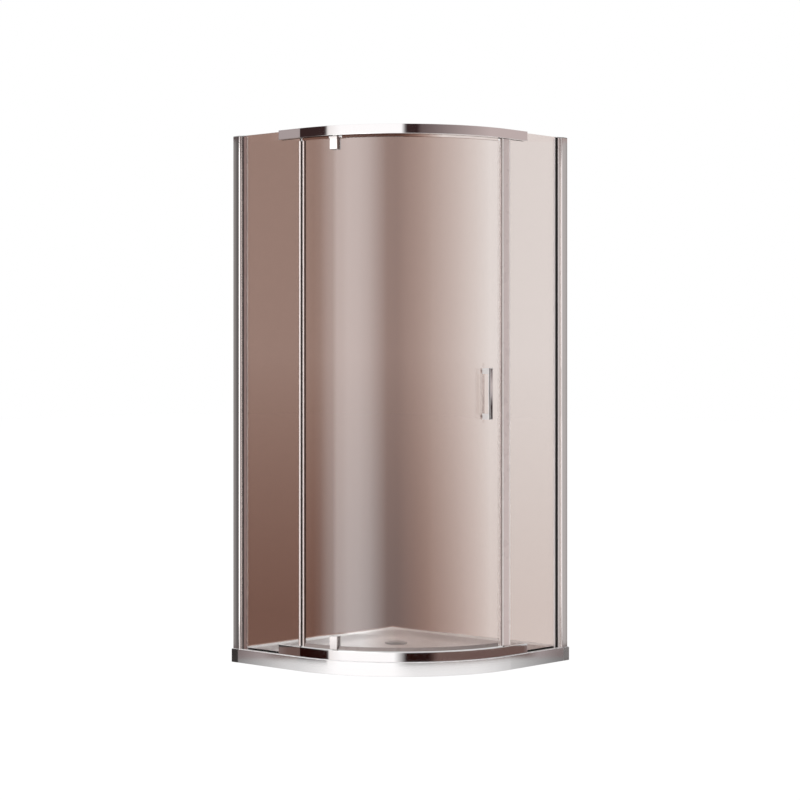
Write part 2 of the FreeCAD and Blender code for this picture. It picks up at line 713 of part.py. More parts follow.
def make_rail(end):
    """A hollow rail with slots for the fixed glass and the door stops and a hole for the pivot's bush."""
    outer, inner = f"({PANE} + rail_depth / 2)", f"({PANE} - rail_depth / 2)"
    low = RAIL_LOW[end]
    body = band(f"{end}_rail_body", outer, inner, RAIL_END, low, "rail_height")
    upright = number(low), number(f"{low} + rail_height")
    dress_edges(body, "Fillet", "rail_round", lambda box: box.ZLength < SAME
                and min(abs(box.ZMin - height) for height in upright) < SAME
                and max(box.XLength, box.YLength) > number("rail_depth") + SAME)
    hollow = band(f"{end}_rail_hollow", f"({outer} - rail_wall)", f"({inner} + rail_wall)",
                  f"({RAIL_END} - overrun)", f"{low} + rail_wall", "rail_height - 2 * rail_wall")
    open_wall = low if end == "top" else f"({low} + rail_height - rail_wall)"
    wall_start, wall_span = f"{open_wall} - overrun", "rail_wall + 2 * overrun"
    tools = [hollow]
    half = "(glass_thickness / 2 + slot_clearance)"
    for side in SIDES:
        start, stop = f"({RAIL_END} - overrun)", f"({PANE_STOP[side]} + slot_clearance)"
        corners = [(start, f"{PANE} - {half}"), (stop, f"{PANE} - {half}"), (stop, f"{PANE} + {half}"),
                   (start, f"{PANE} + {half}")]
        tools.append(side_plan(f"{end}_rail_slot_{side}", side, corners, wall_start, wall_span))
    tools.append(pivot_peg(f"{end}_rail_bush_hole", "bush_radius", wall_start, wall_span))
    if end == "top":
        play = "(stop_stem / 2 + stop_fit)"
        for label, (middle, start, stop) in stop_spans().items():
            tools.append(sector(f"{label}_slot", f"({middle} - {play})", f"({middle} + {play})", start, stop,
                                wall_start, wall_span))
    finish(cut(f"{end}_rail", body, tools), f"{end}_rail")


def make_stop_strips():
    """The strips that the closed door meets under the top rail, each with a barb through the rail's slot."""
    rail = RAIL_LOW["top"]
    inside = f"({rail} + rail_wall)"
    levels = [("stop_width", f"{rail} - stop_drop"), ("stop_width", rail), ("stop_stem", rail),
              ("stop_stem", inside), ("stop_barb", inside), ("stop_stem", f"{inside} + stop_barb_height")]
    for label, (middle, start, stop) in stop_spans().items():
        outer = [(f"-({middle} + {width} / 2)", height) for width, height in levels]
        inner = [(f"-({middle} - {width} / 2)", height) for width, height in reversed(levels)]
        body = new_body(label, ARC_PLACE, start)
        sketch = new_sketch(body, "YZ_Plane")
        draw_loop(sketch, outer + inner)
        turn_profile(body, "Revolution", sketch, f"{stop} - {start}")
        finish(body, label)


def upside(end, base, distance):
    """A height measured from a base away from the door: up at the top end, down at the bottom end."""
    return f"({base} + ({distance}))" if end == "top" else f"({base} - ({distance}))"


def make_rail_fittings(end, side):
    """The plate that closes a rail's end and the packer that holds the fixed glass inside the rail."""
    outer, inner = f"({PANE} + rail_depth / 2)", f"({PANE} - rail_depth / 2)"
    high, low = f"({PANE} + glass_thickness / 2)", f"({PANE} - glass_thickness / 2)"
    mouth = RAIL_LOW["top"] if end == "top" else "(tray_height + rail_height)"
    pane_end = TOP if end == "top" else "(tray_height + glass_sill)"

    def fork(tip_out, tip_in, prong, base, slot, gap):
        """A fork round the glass: two prongs joined past the pane's end."""
        return [(tip_out, prong), (tip_out, base), (tip_in, base), (tip_in, prong), (f"{low} - {gap}", prong),
                (f"{low} - {gap}", slot), (f"{high} + {gap}", slot), (f"{high} + {gap}", prong)]

    plate = fork(outer, inner, mouth, upside(end, mouth, "rail_height"),
                 upside(end, pane_end, "glass_clearance"), "glass_clearance")
    start = f"({RAIL_END} - rail_cap_thickness)"
    cap = side_section(f"{end}_rail_cap_{side}", side, plate, start, "rail_cap_thickness")
    finish(cap, f"{end}_rail_cap_{side}")

    wall = "rail_wall + packer_clearance"
    block = fork(f"{outer} - ({wall})", f"{inner} + {wall}", upside(end, mouth, wall),
                 upside(end, mouth, f"rail_height - ({wall})"), pane_end, "0")
    packer = side_section(f"{end}_packer_{side}", side, block, f"({RAIL_END} + seam)",
                          f"{PANE_STOP[side]} - {RAIL_END} - seam")
    finish(packer, f"{end}_packer_{side}")


def door_hole_pegs(label, angle, heights, radius):
    """Round pegs through the curved glass at one angle."""
    return pegs(label, "XZ_Plane", [("0", height) for height in heights],
                [(f"{GLASS_IN} - overrun", "glass_thickness + 2 * overrun", radius)], ARC_PLACE, angle)


def clamp_heights(end):
    """The heights of a clamp's two screws."""
    edge = DOOR_TOP if end == "top" else DOOR_BOTTOM
    return [upside(end, edge, f"-(clamp_screw_drop + {sign} * clamp_screw_spread / 2)") for sign in (-1, 1)]


def handle_heights():
    """The heights of the handle's two screws, in the middle of its posts."""
    reach = "(handle_length / 2 - handle_post / 2)"
    return [f"(handle_height - {reach})", f"(handle_height + {reach})"]


def make_door_glass():
    """The curved pane of the door, with holes for its clamps and handle."""
    height = f"{DOOR_TOP} - {DOOR_BOTTOM}"
    blank = sector("door_glass_blank", GLASS_IN, GLASS_OUT, LEFT_EDGE, RIGHT_EDGE, DOOR_BOTTOM, height)
    tools = [door_hole_pegs("handle_holes", "handle_angle", handle_heights(), "handle_hole_radius"),
             door_hole_pegs("clamp_holes", "pivot_angle", clamp_heights("top") + clamp_heights("bottom"),
                            "clamp_hole_radius")]
    finish(cut("door_glass", blank, tools), "door_glass")


def make_door_seals():
    """The clip seals on the door's upright edges, and the sweep under it on both sides of the lower clamp."""
    outer, inner = f"({GLASS_OUT} + seal_wall)", f"({GLASS_IN} - seal_wall)"
    edges = {"door_seal_left": (LEFT_EDGE, "door_seal_grip", "door_seal_nose", True),
             "door_magnet_seal": (RIGHT_EDGE, "magnet_seal_grip", "magnet_seal_nose", False)}
    for label, (edge, grip, nose, onward) in edges.items():
        sign = 1 if onward else -1
        lip, tip = f"({edge} + {sign} * {arc_angle(grip)})", f"({edge} - {sign} * {arc_angle(nose)})"
        corners = [polar(outer, tip), polar(outer, lip), polar(GLASS_OUT, lip), polar(GLASS_OUT, edge),
                   polar(GLASS_IN, edge), polar(GLASS_IN, lip), polar(inner, lip), polar(inner, tip)]
        radii = {0: (outer, onward), 2: (GLASS_OUT, not onward), 4: (GLASS_IN, onward),
                 6: (inner, not onward)}
        bends = {side: (radius, ("0", "0"), way) for side, (radius, way) in radii.items()}
        finish(plan_pad(label, corners, SEAL_BOTTOM, SEAL_HEIGHT, bends, ARC_PLACE), label)

    outer, inner = f"({GLASS_OUT} + sweep_wall)", f"({GLASS_IN} - sweep_wall)"
    base, grip = f"({DOOR_BOTTOM} - sweep_base)", f"({DOOR_BOTTOM} + sweep_grip)"
    lip = f"({base} - sweep_lip)"
    profile = [(inner, grip), (inner, base), (f"{outer} - sweep_lip_width", base),
               (f"{outer} - sweep_lip_width", lip), (outer, lip), (outer, grip), (GLASS_OUT, grip),
               (GLASS_OUT, DOOR_BOTTOM), (GLASS_IN, DOOR_BOTTOM), (GLASS_IN, grip)]
    half = arc_angle("(clamp_width / 2 + sweep_gap)")
    left = f"({LEFT_EDGE} + {arc_angle('(door_seal_grip + sweep_gap)')})"
    right = f"({RIGHT_EDGE} - {arc_angle('(magnet_seal_grip + sweep_gap)')})"
    spans = {"door_sweep_short": (left, f"(pivot_angle - {half})"),
             "door_sweep_long": (f"(pivot_angle + {half})", right)}
    for label, (start, stop) in spans.items():
        body = new_body(label, ARC_PLACE, start)
        sketch = new_sketch(body, "YZ_Plane")
        draw_loop(sketch, [(f"-({radius})", height) for radius, height in profile])
        turn_profile(body, "Revolution", sketch, f"{stop} - {start}")
        finish(body, label)


def make_pivot(end):
    """A pivot: two clamp plates on gaskets, their screws, the pin in the outer plate's web and its bush."""
    edge = DOOR_TOP if end == "top" else DOOR_BOTTOM
    rail = RAIL_LOW["top"] if end == "top" else "(tray_height + rail_height)"
    head = upside(end, rail, "-clamp_rail_gap")
    foot = upside(end, head, "-clamp_height")
    web = upside(end, edge, "clamp_web_gap")
    web_height = "(door_gap - clamp_rail_gap - clamp_web_gap)"
    face, front = f"({GLASS_OUT} + clamp_gasket)", f"({GLASS_OUT} + clamp_gasket + clamp_plate)"
    inner_face = inner_flat("clamp_width", "clamp_gasket")
    back = f"({inner_face} - clamp_plate)"

    outer = radial_block(f"{end}_clamp_outer", "pivot_angle", [(face, foot), (front, foot), (front, head),
                         (back, head), (back, web), (face, web)], "clamp_width")
    dress_edges(outer, "Chamfer", "clamp_bevel", lambda box: level(-box.YMax, -box.YMin, front))
    shank_end = f"({face} + clamp_screw_depth)"
    spots = [("0", height) for height in clamp_heights(end)]
    hole = "clamp_screw_radius + screw_clearance"
    drill(outer, "XZ_Plane", spots, shank_end, f"{shank_end} - {face} + overrun", hole)
    drill(outer, "XY_Plane", [("0", f"-{CURVE}")], f"{head if end == 'top' else web} + overrun",
          f"{web_height} + 2 * overrun", "pin_radius")
    finish(outer, f"{end}_clamp_outer")

    inner = radial_block(f"{end}_clamp_inner", "pivot_angle",
                         [(back, foot), (inner_face, foot), (inner_face, upside(end, web, "-seam")),
                          (back, upside(end, web, "-seam"))], "clamp_width")
    drill(inner, "XZ_Plane", spots, f"{inner_face} + overrun", "clamp_plate + 2 * overrun", hole)
    finish(inner, f"{end}_clamp_inner")

    gaskets = new_body(f"{end}_clamp_gaskets", ARC_PLACE, "pivot_angle")
    low = foot if end == "top" else edge
    height = f"{edge} - {foot}" if end == "top" else f"{foot} - {edge}"
    outer_pad(gaskets, "clamp_width", "clamp_gasket", low, height)
    inner_pad(gaskets, "clamp_width", "clamp_gasket", low, height)
    drill(gaskets, "XZ_Plane", spots, front, f"{front} - {back}", "clamp_hole_radius")
    finish(gaskets, f"{end}_clamp_gaskets")

    steps = ((f"{back} - clamp_head_height", "clamp_head_height", "clamp_head_radius"),
             (back, f"{shank_end} - {back}", "clamp_screw_radius"))
    screws = pegs(f"{end}_clamp_screws", "XZ_Plane", spots, steps, ARC_PLACE, "pivot_angle")
    finish(screws, f"{end}_clamp_screws")

    pin_span = f"({web_height} + clamp_rail_gap + pin_reach)"
    pin_low = web if end == "top" else f"{web} - {pin_span}"
    finish(pivot_peg(f"{end}_pivot_pin", "pin_radius", pin_low, pin_span), f"{end}_pivot_pin")

    bush = new_body(f"{end}_pivot_bush", ARC_PLACE, "pivot_angle")
    flange = "clamp_rail_gap - bush_flange_clearance"
    flange_low = f"{rail} - ({flange})" if end == "top" else rail
    barrel_low = rail if end == "top" else f"{rail} - bush_length"
    for low, height, radius in ((flange_low, flange, "bush_flange_radius"),
                                (barrel_low, "bush_length", "bush_radius")):
        sketch = new_sketch(bush, "XY_Plane", low)
        draw_circle(sketch, ("0", f"-{CURVE}"), radius)
        draw_circle(sketch, ("0", f"-{CURVE}"), "pin_radius + pin_clearance")
        add_feature(bush, "Pad", sketch, Length=height)
    finish(bush, f"{end}_pivot_bush")


def make_handle():
    """A square D-shaped pull on pads, with a backing plate inside the glass and the screws that join them."""
    face = f"({GLASS_OUT} + handle_pad)"
    front = f"({face} + handle_projection)"
    grip = f"({front} - handle_bar)"
    low, high = "(handle_height - handle_length / 2)", "(handle_height + handle_length / 2)"
    post_low, post_high = f"({low} + handle_post)", f"({high} - handle_post)"
    pull = radial_block("handle_pull", "handle_angle",
                        [(face, low), (front, low), (front, high), (face, high), (face, post_high),
                         (grip, post_high), (grip, post_low), (face, post_low)], "handle_width")
    dress_edges(pull, "Fillet", "handle_round", lambda box: level(-box.YMax, -box.YMin, front))
    spots = [("0", height) for height in handle_heights()]
    shank_end = f"({face} + handle_screw_depth)"
    hole = "handle_screw_radius + screw_clearance"
    drill(pull, "XZ_Plane", spots, shank_end, "handle_screw_depth + overrun", hole)
    finish(pull, "handle_pull")

    inner_face = inner_flat("handle_plate_width", "handle_pad")
    back = f"({inner_face} - handle_plate_thickness)"
    plate = radial_block("handle_back_plate", "handle_angle",
                         [(back, low), (inner_face, low), (inner_face, high), (back, high)],
                         "handle_plate_width")
    dress_edges(plate, "Fillet", "handle_plate_round", lambda box: level(-box.YMax, -box.YMin, back))
    drill(plate, "XZ_Plane", spots, f"{inner_face} + overrun", "handle_plate_thickness + 2 * overrun", hole)
    finish(plate, "handle_back_plate")

    pads = new_body("handle_outer_pads", ARC_PLACE, "handle_angle")
    outer_pad(pads, "handle_width", "handle_pad", low, "handle_post")
    outer_pad(pads, "handle_width", "handle_pad", post_high, "handle_post")
    drill(pads, "XZ_Plane", spots, f"{face} + overrun", "handle_pad + 2 * overrun", hole)
    finish(pads, "handle_outer_pads")
    strip = new_body("handle_inner_pad", ARC_PLACE, "handle_angle")
    inner_pad(strip, "handle_plate_width", "handle_pad", low, "handle_length")
    drill(strip, "XZ_Plane", spots, f"{GLASS_IN} + overrun", "handle_pad + 2 * overrun", hole)
    finish(strip, "handle_inner_pad")

    steps = ((f"{back} - handle_head_height", "handle_head_height", "handle_head_radius"),
             (back, f"{shank_end} - {back}", "handle_screw_radius"))
    finish(pegs("handle_screws", "XZ_Plane", spots, steps, ARC_PLACE, "handle_angle"), "handle_screws")


def check_document():
    """Stop if any object failed, or if a piece has no sound shape."""
    for item in doc.Objects:
        if "Invalid" in item.State or "Error" in item.State:
            raise RuntimeError(f"{item.Label} failed: {item.State}")
    for item in nodes:
        if item.Shape.isNull() or not item.Shape.isValid() or not item.Shape.Solids:
            raise RuntimeError(f"{item.Label} has no sound solid")


def write_parts():
    """Write each piece to a file that has its name."""
    os.makedirs("parts", exist_ok=True)
    for item in nodes:
        item.Shape.exportStep(f"parts/{item.Label}.step")


make_tray()
make_skirt()
make_waste()
for wall_side in SIDES:
    make_wall_profiles(wall_side)
    make_fixed_pane(wall_side)
make_pane_seals()
for rail_end in ("top", "bottom"):
    make_rail(rail_end)
    for wall_side in SIDES:
        make_rail_fittings(rail_end, wall_side)
    make_pivot(rail_end)
make_stop_strips()
make_door_glass()
make_door_seals()
make_handle()
doc.recompute()
check_document()
write_parts()
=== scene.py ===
import math

import bpy
from bpy.props import FloatProperty, FloatVectorProperty, IntProperty, PointerProperty
from mathutils import Matrix, Vector


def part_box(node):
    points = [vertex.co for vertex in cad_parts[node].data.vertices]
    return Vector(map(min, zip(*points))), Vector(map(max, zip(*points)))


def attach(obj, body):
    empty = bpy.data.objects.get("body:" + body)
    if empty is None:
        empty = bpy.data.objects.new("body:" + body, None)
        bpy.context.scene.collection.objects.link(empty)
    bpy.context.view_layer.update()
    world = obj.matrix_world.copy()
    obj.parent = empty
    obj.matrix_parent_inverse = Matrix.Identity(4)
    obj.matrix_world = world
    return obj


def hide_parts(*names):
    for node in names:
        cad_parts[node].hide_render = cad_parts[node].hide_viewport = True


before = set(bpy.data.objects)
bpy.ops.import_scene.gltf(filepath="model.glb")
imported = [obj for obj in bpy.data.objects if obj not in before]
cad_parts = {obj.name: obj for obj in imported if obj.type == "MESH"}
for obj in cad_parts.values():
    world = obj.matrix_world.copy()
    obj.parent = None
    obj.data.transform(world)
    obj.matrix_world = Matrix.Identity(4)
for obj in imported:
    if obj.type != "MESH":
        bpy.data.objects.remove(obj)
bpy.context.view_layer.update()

bl_info = {
    "name": "Corner Shower Enclosure",
    "version": (1, 0, 0),
    "blender": (4, 5, 0),
    "location": "View3D > Sidebar > Shower",
    "description": "Dresses a quadrant shower enclosure and sets up its studio",
    "category": "Object",
}

# Directions: along the left panel and the right one, up, and across the diagonal of the corner
RIGHT = (1.0, 0.0, 0.0)
FRONT = (0.0, -1.0, 0.0)
UP = (0.0, 0.0, 1.0)
ACROSS = (math.sqrt(0.5), math.sqrt(0.5), 0.0)
DIAGONAL = 45.0

# Plan: the middle of the tray, the centre of the curve, and how many degrees round the curve from
# its left end the clamps and the handle are
MIDDLE = Vector((0.45, -0.45, 0.0))
CURVE_CENTRE = Vector((0.35, -0.35, 0.0))
CLAMP_ANGLE = 16.0
HANDLE_ANGLE = 77.4

# Screws: radius and height of the head, and radius of the shank
LOCKING_SCREW = (0.0036, 0.0022, 0.002)
DOOR_SCREW = (0.005, 0.003, 0.003)
SMOOTH_ANGLE = math.radians(35)

# Handle: how far from the centre of the curve its mirror-like bar and that bar's edge of painted
# dark reflection start and end, and how metallic its posts are
BAR_RADII = (0.574, 1.0)
BAR_REFLECTION_RADII = (0.5715, 0.5759)
POST_METALLIC = 0.2

# Upright seals: where each zone starts and ends along its panel, and how deep the strike seal's
# shaded edge is. The lip, edge, skin and shaded edge zones are painted shade on the vinyl
PANE_EDGE_ZONE = (0.3, 0.3362)
PANE_LIP_ZONE = (0.3432, 0.36)
DOOR_LIP_ZONE = (0.34, 0.3545)
DOOR_EDGE_ZONE = (0.3595, 0.38)
STRIKE_SKIN_ZONE = (0.3365, 0.366)
STRIKE_SHADE_ZONE = (0.3768, 0.39)
STRIKE_SHADE_DEPTH = 0.005

# Glass: index of a reflective coat, share of the tint's density that one face takes, the distances
# across between which the tint thins out, those between which it deepens and eases in the middle of
# the curve, and the heights between which it grows denser towards its foot. This grading is painted
# shade and light: darker at the left, mid-curve and at the foot, lighter at the right
COATED_GLASS_IOR = 1.8
ONE_FACE = 0.5
TINT_LEFT, TINT_RIGHT = -0.03, 0.31
DEEPEN_START, DEEPEN_END = -0.36, -0.12
EASE_START, EASE_END = -0.04, 0.09
FOOT_LOW, FOOT_HIGH = 0.2, 1.15

# Sill line: the lowest of these lines, each with its height on the diagonal and its slope across,
# half of the line's soft width, and the distance across from which the tint below it deepens. Below
# the line the tint is weak, painted light where the lit tray shows through
SILL_LINES = ((0.215, 0.264), (0.188, 0.177), (0.172, -0.137), (0.189, -0.22))
SILL_SOFT = 0.003
SILL_DEEPEN = -0.16

# Stop strips: index of soft vinyl, roughness, density of the tint at the left and the right, and
# the distance across at which it is palest; this grading is painted shade, as on the glass
VINYL_IOR = 1.25
STRIP_ROUGHNESS = 0.2
STRIP_DEEP, STRIP_PALE = 1.6, 0.3
STRIP_RIGHT = 0.13

# Noise: how much detail the clouds of smudges and the lines of drawn metal have, and the values
# between which they go from one roughness to the other
CLOUD_DETAIL, CLOUD_SPREAD = 4.0, (0.32, 0.68)
LINE_DETAIL, LINE_SPREAD = 5.0, (0.3, 0.7)

# Smudged finishes: roughness where they are cleanest and dullest, and scale of the smudges
SMUDGES = {
    "Tray acrylic": (0.28, 0.31, 14.0),
    "Right shaded cap": (0.24, 0.32, 40.0),
    "Gunmetal cap": (0.22, 0.30, 40.0),
    "Shaded waste chrome": (0.07, 0.13, 40.0),
    "Waste plastic": (0.35, 0.5, 60.0),
    "Waste rubber": (0.5, 0.7, 80.0),
    "Profile cap": (0.3, 0.42, 60.0),
    "Black rubber": (0.45, 0.62, 60.0),
    "Lit brown rubber": (0.45, 0.62, 60.0),
    "Chrome plate": (0.06, 0.10, 50.0),
    "Packer": (0.4, 0.55, 60.0),
    "Bush nylon": (0.35, 0.5, 70.0),
    "Lipped vinyl": (0.24, 0.36, 30.0),
    "Nosed vinyl": (0.24, 0.36, 30.0),
    "Strike vinyl": (0.24, 0.36, 30.0),
    "Clear vinyl": (0.2, 0.32, 30.0),
    "White bead": (0.2, 0.32, 30.0),
    "Smoked vinyl": (0.25, 0.36, 30.0),
    "Shaded chrome fitting": (0.06, 0.11, 45.0),
    "Chrome pull": (0.05, 0.09, 45.0),
    "Clear plate": (0.2, 0.3, 45.0),
    "Clamp rubber": (0.45, 0.62, 60.0),
    "Pale floor": (0.85, 0.95, 3.0),
}

# Drawn finishes: roughness where they are smoothest and dullest, how fine the grain is along each
# axis, and the strength of its relief
UPRIGHT_GRAIN = (700.0, 700.0, 3.0)
GRAINS = {
    "Satin skirt": (0.06, 0.09, (6.0, 6.0, 900.0), 0.01),
    "Polished aluminium": (0.07, 0.11, UPRIGHT_GRAIN, 0.02),
    "Shaded aluminium": (0.2, 0.28, UPRIGHT_GRAIN, 0.02),
    "Lit aluminium": (0.2, 0.28, UPRIGHT_GRAIN, 0.02),
    "Chrome rail": (0.02, 0.04, (4.0, 4.0, 500.0), 0.01),
    "Turned steel": (0.22, 0.34, (40.0, 40.0, 900.0), 0.04),
    "Screw steel": (0.2, 0.32, (300.0, 300.0, 900.0), 0.03),
}
GRAIN_DEPTH = 0.0002

# Stage: paint of the floor, radius about the middle within which it doesn't glow under the waste's
# outlet, sides of a ring of cards, and sizes, places and aim of the lamps
FLOOR_PAINT = (0.9, 0.9, 0.9)
UNDER_TRAY = 0.4
CARD_SIDES = 180
KEY_SIZE, KEY_PLACE = 3.0, Vector((0.4, -4.6, 3.4))
TOP_SIZE, TOP_PLACE = 1.2, MIDDLE + Vector((0.0, 0.0, 3.6))
AIM = MIDDLE + Vector((0.0, 0.0, 0.6))
WHITE = (1.0, 1.0, 1.0)


# Settings

def number_property(name, description, default, **more):
    """A setting that is a number."""
    return FloatProperty(name=name, description=description, default=default, **more)


def length_property(name, description, default):
    """A length setting."""
    return number_property(name, description, default, subtype="DISTANCE", unit="LENGTH")


def power_property(name, description, default):
    """A setting for the power of a lamp."""
    return number_property(name, description, default, subtype="POWER", unit="POWER")


def colour_property(name, description, default):
    """A colour setting."""
    return FloatVectorProperty(name=name, description=description, default=default, size=3, min=0,
                               max=1, subtype="COLOR")


class ScrewSettings(bpy.types.PropertyGroup):
    """Sizes of the socket-head screws."""

    socket_width: length_property("Socket width", "Width across the flats of the socket", 0.0032)
    socket_depth: length_property("Socket depth", "Depth of the hexagon socket", 0.0014)
    edge_round: length_property("Edge round", "Round of the head's outer edge", 0.0006)
    sides: IntProperty(name="Sides", description="Sides of a round screw", default=32, min=12)


class FinishSettings(bpy.types.PropertyGroup):
    """Colours of the finishes and densities of the tint, several of them painted with shade and
    light.
    """

    tray_white: colour_property("Tray", "Acrylic of the tray", (0.84, 0.835, 0.84))
    chrome: colour_property("Chrome", "Plating of the rails and end plates", (0.86, 0.835, 0.83))
    aluminium: colour_property("Aluminium", "Polished wall channels", (0.64, 0.585, 0.57))
    # The adjusting profiles are one aluminium, painted shade on the left and painted light on the
    # right
    shaded_aluminium: colour_property("Shaded aluminium", "Left adjusting profile", (0.4, 0.36, 0.35))
    lit_aluminium: colour_property("Lit aluminium", "Right adjusting profile", (0.92, 0.85, 0.83))
    satin: colour_property("Satin metal", "Skirt round the tray, and handle", (0.88, 0.86, 0.86))
    # Painted dark reflection along the edge of the handle's bar
    bar_painted_reflection: colour_property("Bar painted reflection", "Dark edge of the handle's bar", (0.04, 0.032, 0.03))
    # The skirt's end caps are one metal painted in two shades: painted shade, deeper at the left
    right_cap_shade: colour_property("Right cap shade", "Right end cap of the skirt", (0.43, 0.405, 0.4))
    shaded_metal: colour_property("Shaded metal", "Left end cap of the skirt", (0.16, 0.145, 0.14))
    # Painted shade: the waste cover is a darker copy of the chrome
    shaded_waste_chrome: colour_property("Shaded waste chrome", "Plating of the waste cover", (0.42, 0.39, 0.385))
    # Painted shade: the pivot clamps are a darker copy of the chrome
    fitting: colour_property("Shaded fitting", "Plating of the pivot clamps", (0.55, 0.515, 0.505))
    steel: colour_property("Steel", "Screws and pivot pins", (0.58, 0.57, 0.56))
    rubber: colour_property("Black rubber", "Gaskets, sill and waste seals", (0.014, 0.012, 0.012))
    # Painted light: the left gasket is a lighter brown copy of the black gasket rubber
    lit_brown_rubber: colour_property("Lit brown rubber", "Left glazing gasket", (0.17, 0.105, 0.095))
    vinyl: colour_property("Vinyl", "Pale middle of the left upright seals", (0.84, 0.74, 0.71))
    # Painted shade on the left seals: their dark lips and darker edges
    vinyl_lip_shade: colour_property("Vinyl lip shade", "Dark lips of the left seals", (0.05, 0.036, 0.033))
    vinyl_edge_shade: colour_property("Vinyl edge shade", "Clear edges of the left seals", (0.17, 0.115, 0.1))
    white_vinyl: colour_property("White vinyl", "Ribs, beads and clear trim", (0.96, 0.87, 0.85))
    # Painted shade on the strike seal: its darker middle between the ribs and its free edge
    vinyl_skin_shade: colour_property("Vinyl skin shade", "Middle of the strike seal", (0.8, 0.66, 0.64))
    strike_painted_shade: colour_property("Strike painted shade", "Free edge of the strike seal", (0.3, 0.25, 0.24))
    smoked_vinyl: colour_property("Smoked vinyl", "Sweeps under the door", (0.32, 0.265, 0.25))
    nylon: colour_property("Nylon", "Pivot bushes", (0.72, 0.71, 0.68))
    grey_plastic: colour_property("Grey plastic", "Packers, caps, waste body", (0.3, 0.29, 0.29))
    # Painted shade and light in the tint: deep at the left, denser mid-curve and at the foot, pale
    # at the right
    tint: colour_property("Glass tint", "What deep glass lets through", (0.331, 0.215, 0.178))
    pale_density: number_property("Pale density", "Tint at the right wall", 0.285, min=0)
    foot_shade_density: number_property("Foot shade density", "How much denser the foot is", 1.55, min=0)
    middle_shade_density: number_property("Middle shade density", "How much denser mid-curve is", 1.38, min=0)
    # Painted light below the sill line, where the tray shows through the glass
    sill_density: number_property("Sill density", "Tint below the sill line, left", 0.08, min=0)
    sill_middle_density: number_property(
        "Sill density middle", "Tint below the sill line, mid-curve", 0.52, min=0)
    sill_pale_density: number_property(
        "Sill density right", "Tint below the sill line, right", 0.34, min=0)


class StageSettings(bpy.types.PropertyGroup):
    """Camera, floor, lamps and the cards that the metal and the glass mirror."""

    distance: length_property("Camera distance", "Distance along the corner's diagonal", 8.4259)
    sideways: length_property("Camera sideways", "Distance to the right of the diagonal", -0.4291)
    height: length_property("Camera height", "Height of the lens above the floor", 1.1073)
    heading: number_property(
        "Camera heading", "Turn of the level camera about the upright axis", math.radians(42.758),
        subtype="ANGLE", unit="ROTATION")
    lens: number_property("Lens", "Focal length in millimetres", 93.10)
    shift_x: number_property("Shift across", "Lens shift across the frame", 0.04)
    shift_y: number_property("Shift up", "Lens shift up the frame", -0.041)
    card_radius: length_property("Card radius", "Radius of the ring of cards", 2.0)
    flag_angle: number_property(
        "Flag angle", "Where the handle's dark flag hangs, in degrees right of the diagonal", 63.2)
    flag_height: length_property("Flag height", "Height of the flag's middle", 0.995)
    flag_width: length_property("Flag width", "Width of the flag", 0.12)
    flag_drop: length_property("Flag drop", "Height of the flag from top to foot", 0.26)
    daylight: number_property("Daylight", "Strength of the even light", 0.5)
    key_power: power_property("Key power", "Large lamp at the front left", 120.0)
    top_power: power_property("Top power", "Lamp above the tray", 45.0)
    floor_size: length_property("Floor size", "Side of the square floor", 60.0)
    floor_glow: number_property("Floor glow", "Share of the floor that shows white", 0.93)
    floor_white: number_property("Floor white", "Strength of that white", 1.044)


# Tones of the cards that the metal and the glass mirror
BRIGHT = (1.16, 1.16, 1.17)
WARM = (0.97, 0.94, 0.93)
GREY = (0.44, 0.38, 0.38)
ROSE = (0.58, 0.49, 0.48)
SHADE = (0.14, 0.105, 0.105)
DIM = (0.22, 0.18, 0.177)
FLAG = (0.04, 0.022, 0.022)
BROWN = (0.165, 0.105, 0.093)
DEEP_FLAG = (0.017, 0.004, 0.003)

# Tone at each angle in degrees from the diagonal, to the right
RAIL_TOP_CARDS = (
    (-180, SHADE), (-86.4, SHADE), (-85.8, GREY), (-82.9, GREY), (-82.2, FLAG), (-59.4, FLAG),
    (-57.4, WARM), (-48, BRIGHT), (-1.5, BRIGHT), (1.9, FLAG), (10.5, FLAG), (13, SHADE),
    (70, ROSE), (180, ROSE),
)
RAIL_FOOT_CARDS = (
    (-180, DIM), (-90.5, DIM), (-86.2, GREY), (-85.6, BROWN), (-82.9, BROWN), (-82.2, DEEP_FLAG),
    (-57.8, DEEP_FLAG), (-56.2, WARM), (-46, BRIGHT), (-7, BRIGHT), (2, DEEP_FLAG),
    (19, DEEP_FLAG), (26, BROWN), (90.2, BROWN), (90.8, GREY), (94, DIM), (180, DIM),
)

# Brightness at each angle
SKIRT_CARDS = (
    (-180, 0.5), (-100, 0.2), (-91.5, 0.2), (-84, 0.76), (-66, 0.94), (-50, 1.15), (-8, 1.15),
    (8, 0.97), (55, 0.94), (70, 0.84), (87, 0.68), (95, 0.18), (104, 0.2), (180, 0.5),
)
PANE_CARDS = (
    (-140, 0.42), (-120, 0.8), (-105, 0.4), (-91, 0.07), (-84, 0.055), (-72, 0.05), (-66, 0.4),
    (-59, 1.5), (-50, 3.1), (-42, 3.9), (-34, 3.9), (-26, 3.3), (-12, 1.15), (3, 0.98),
    (20, 0.56), (33, 0.78), (50, 1.0), (78, 1.0), (87, 0.55), (93, 0.66), (106, 0.66), (115, 0.3),
    (118, 0.03), (132, 0.03), (140, 0.28),
)

# Brightness behind the enclosure, and the highest one at the height of the sill
UPPER_BACK = 0.06
LOWER_BACK = 0.70
SILL_LIMIT = 1.6


def grey_cards(cards):
    """Cards of plain brightness."""
    return [(angle, (light,) * 3) for angle, light in cards]


def pane_cards(back, limit=math.inf):
    """The cards that the panes mirror, with a brightness behind the enclosure and a highest one."""
    cards = [(-180, back), (-150, back), *PANE_CARDS, (150, back), (180, back)]
    return grey_cards([(angle, min(light, limit)) for angle, light in cards])


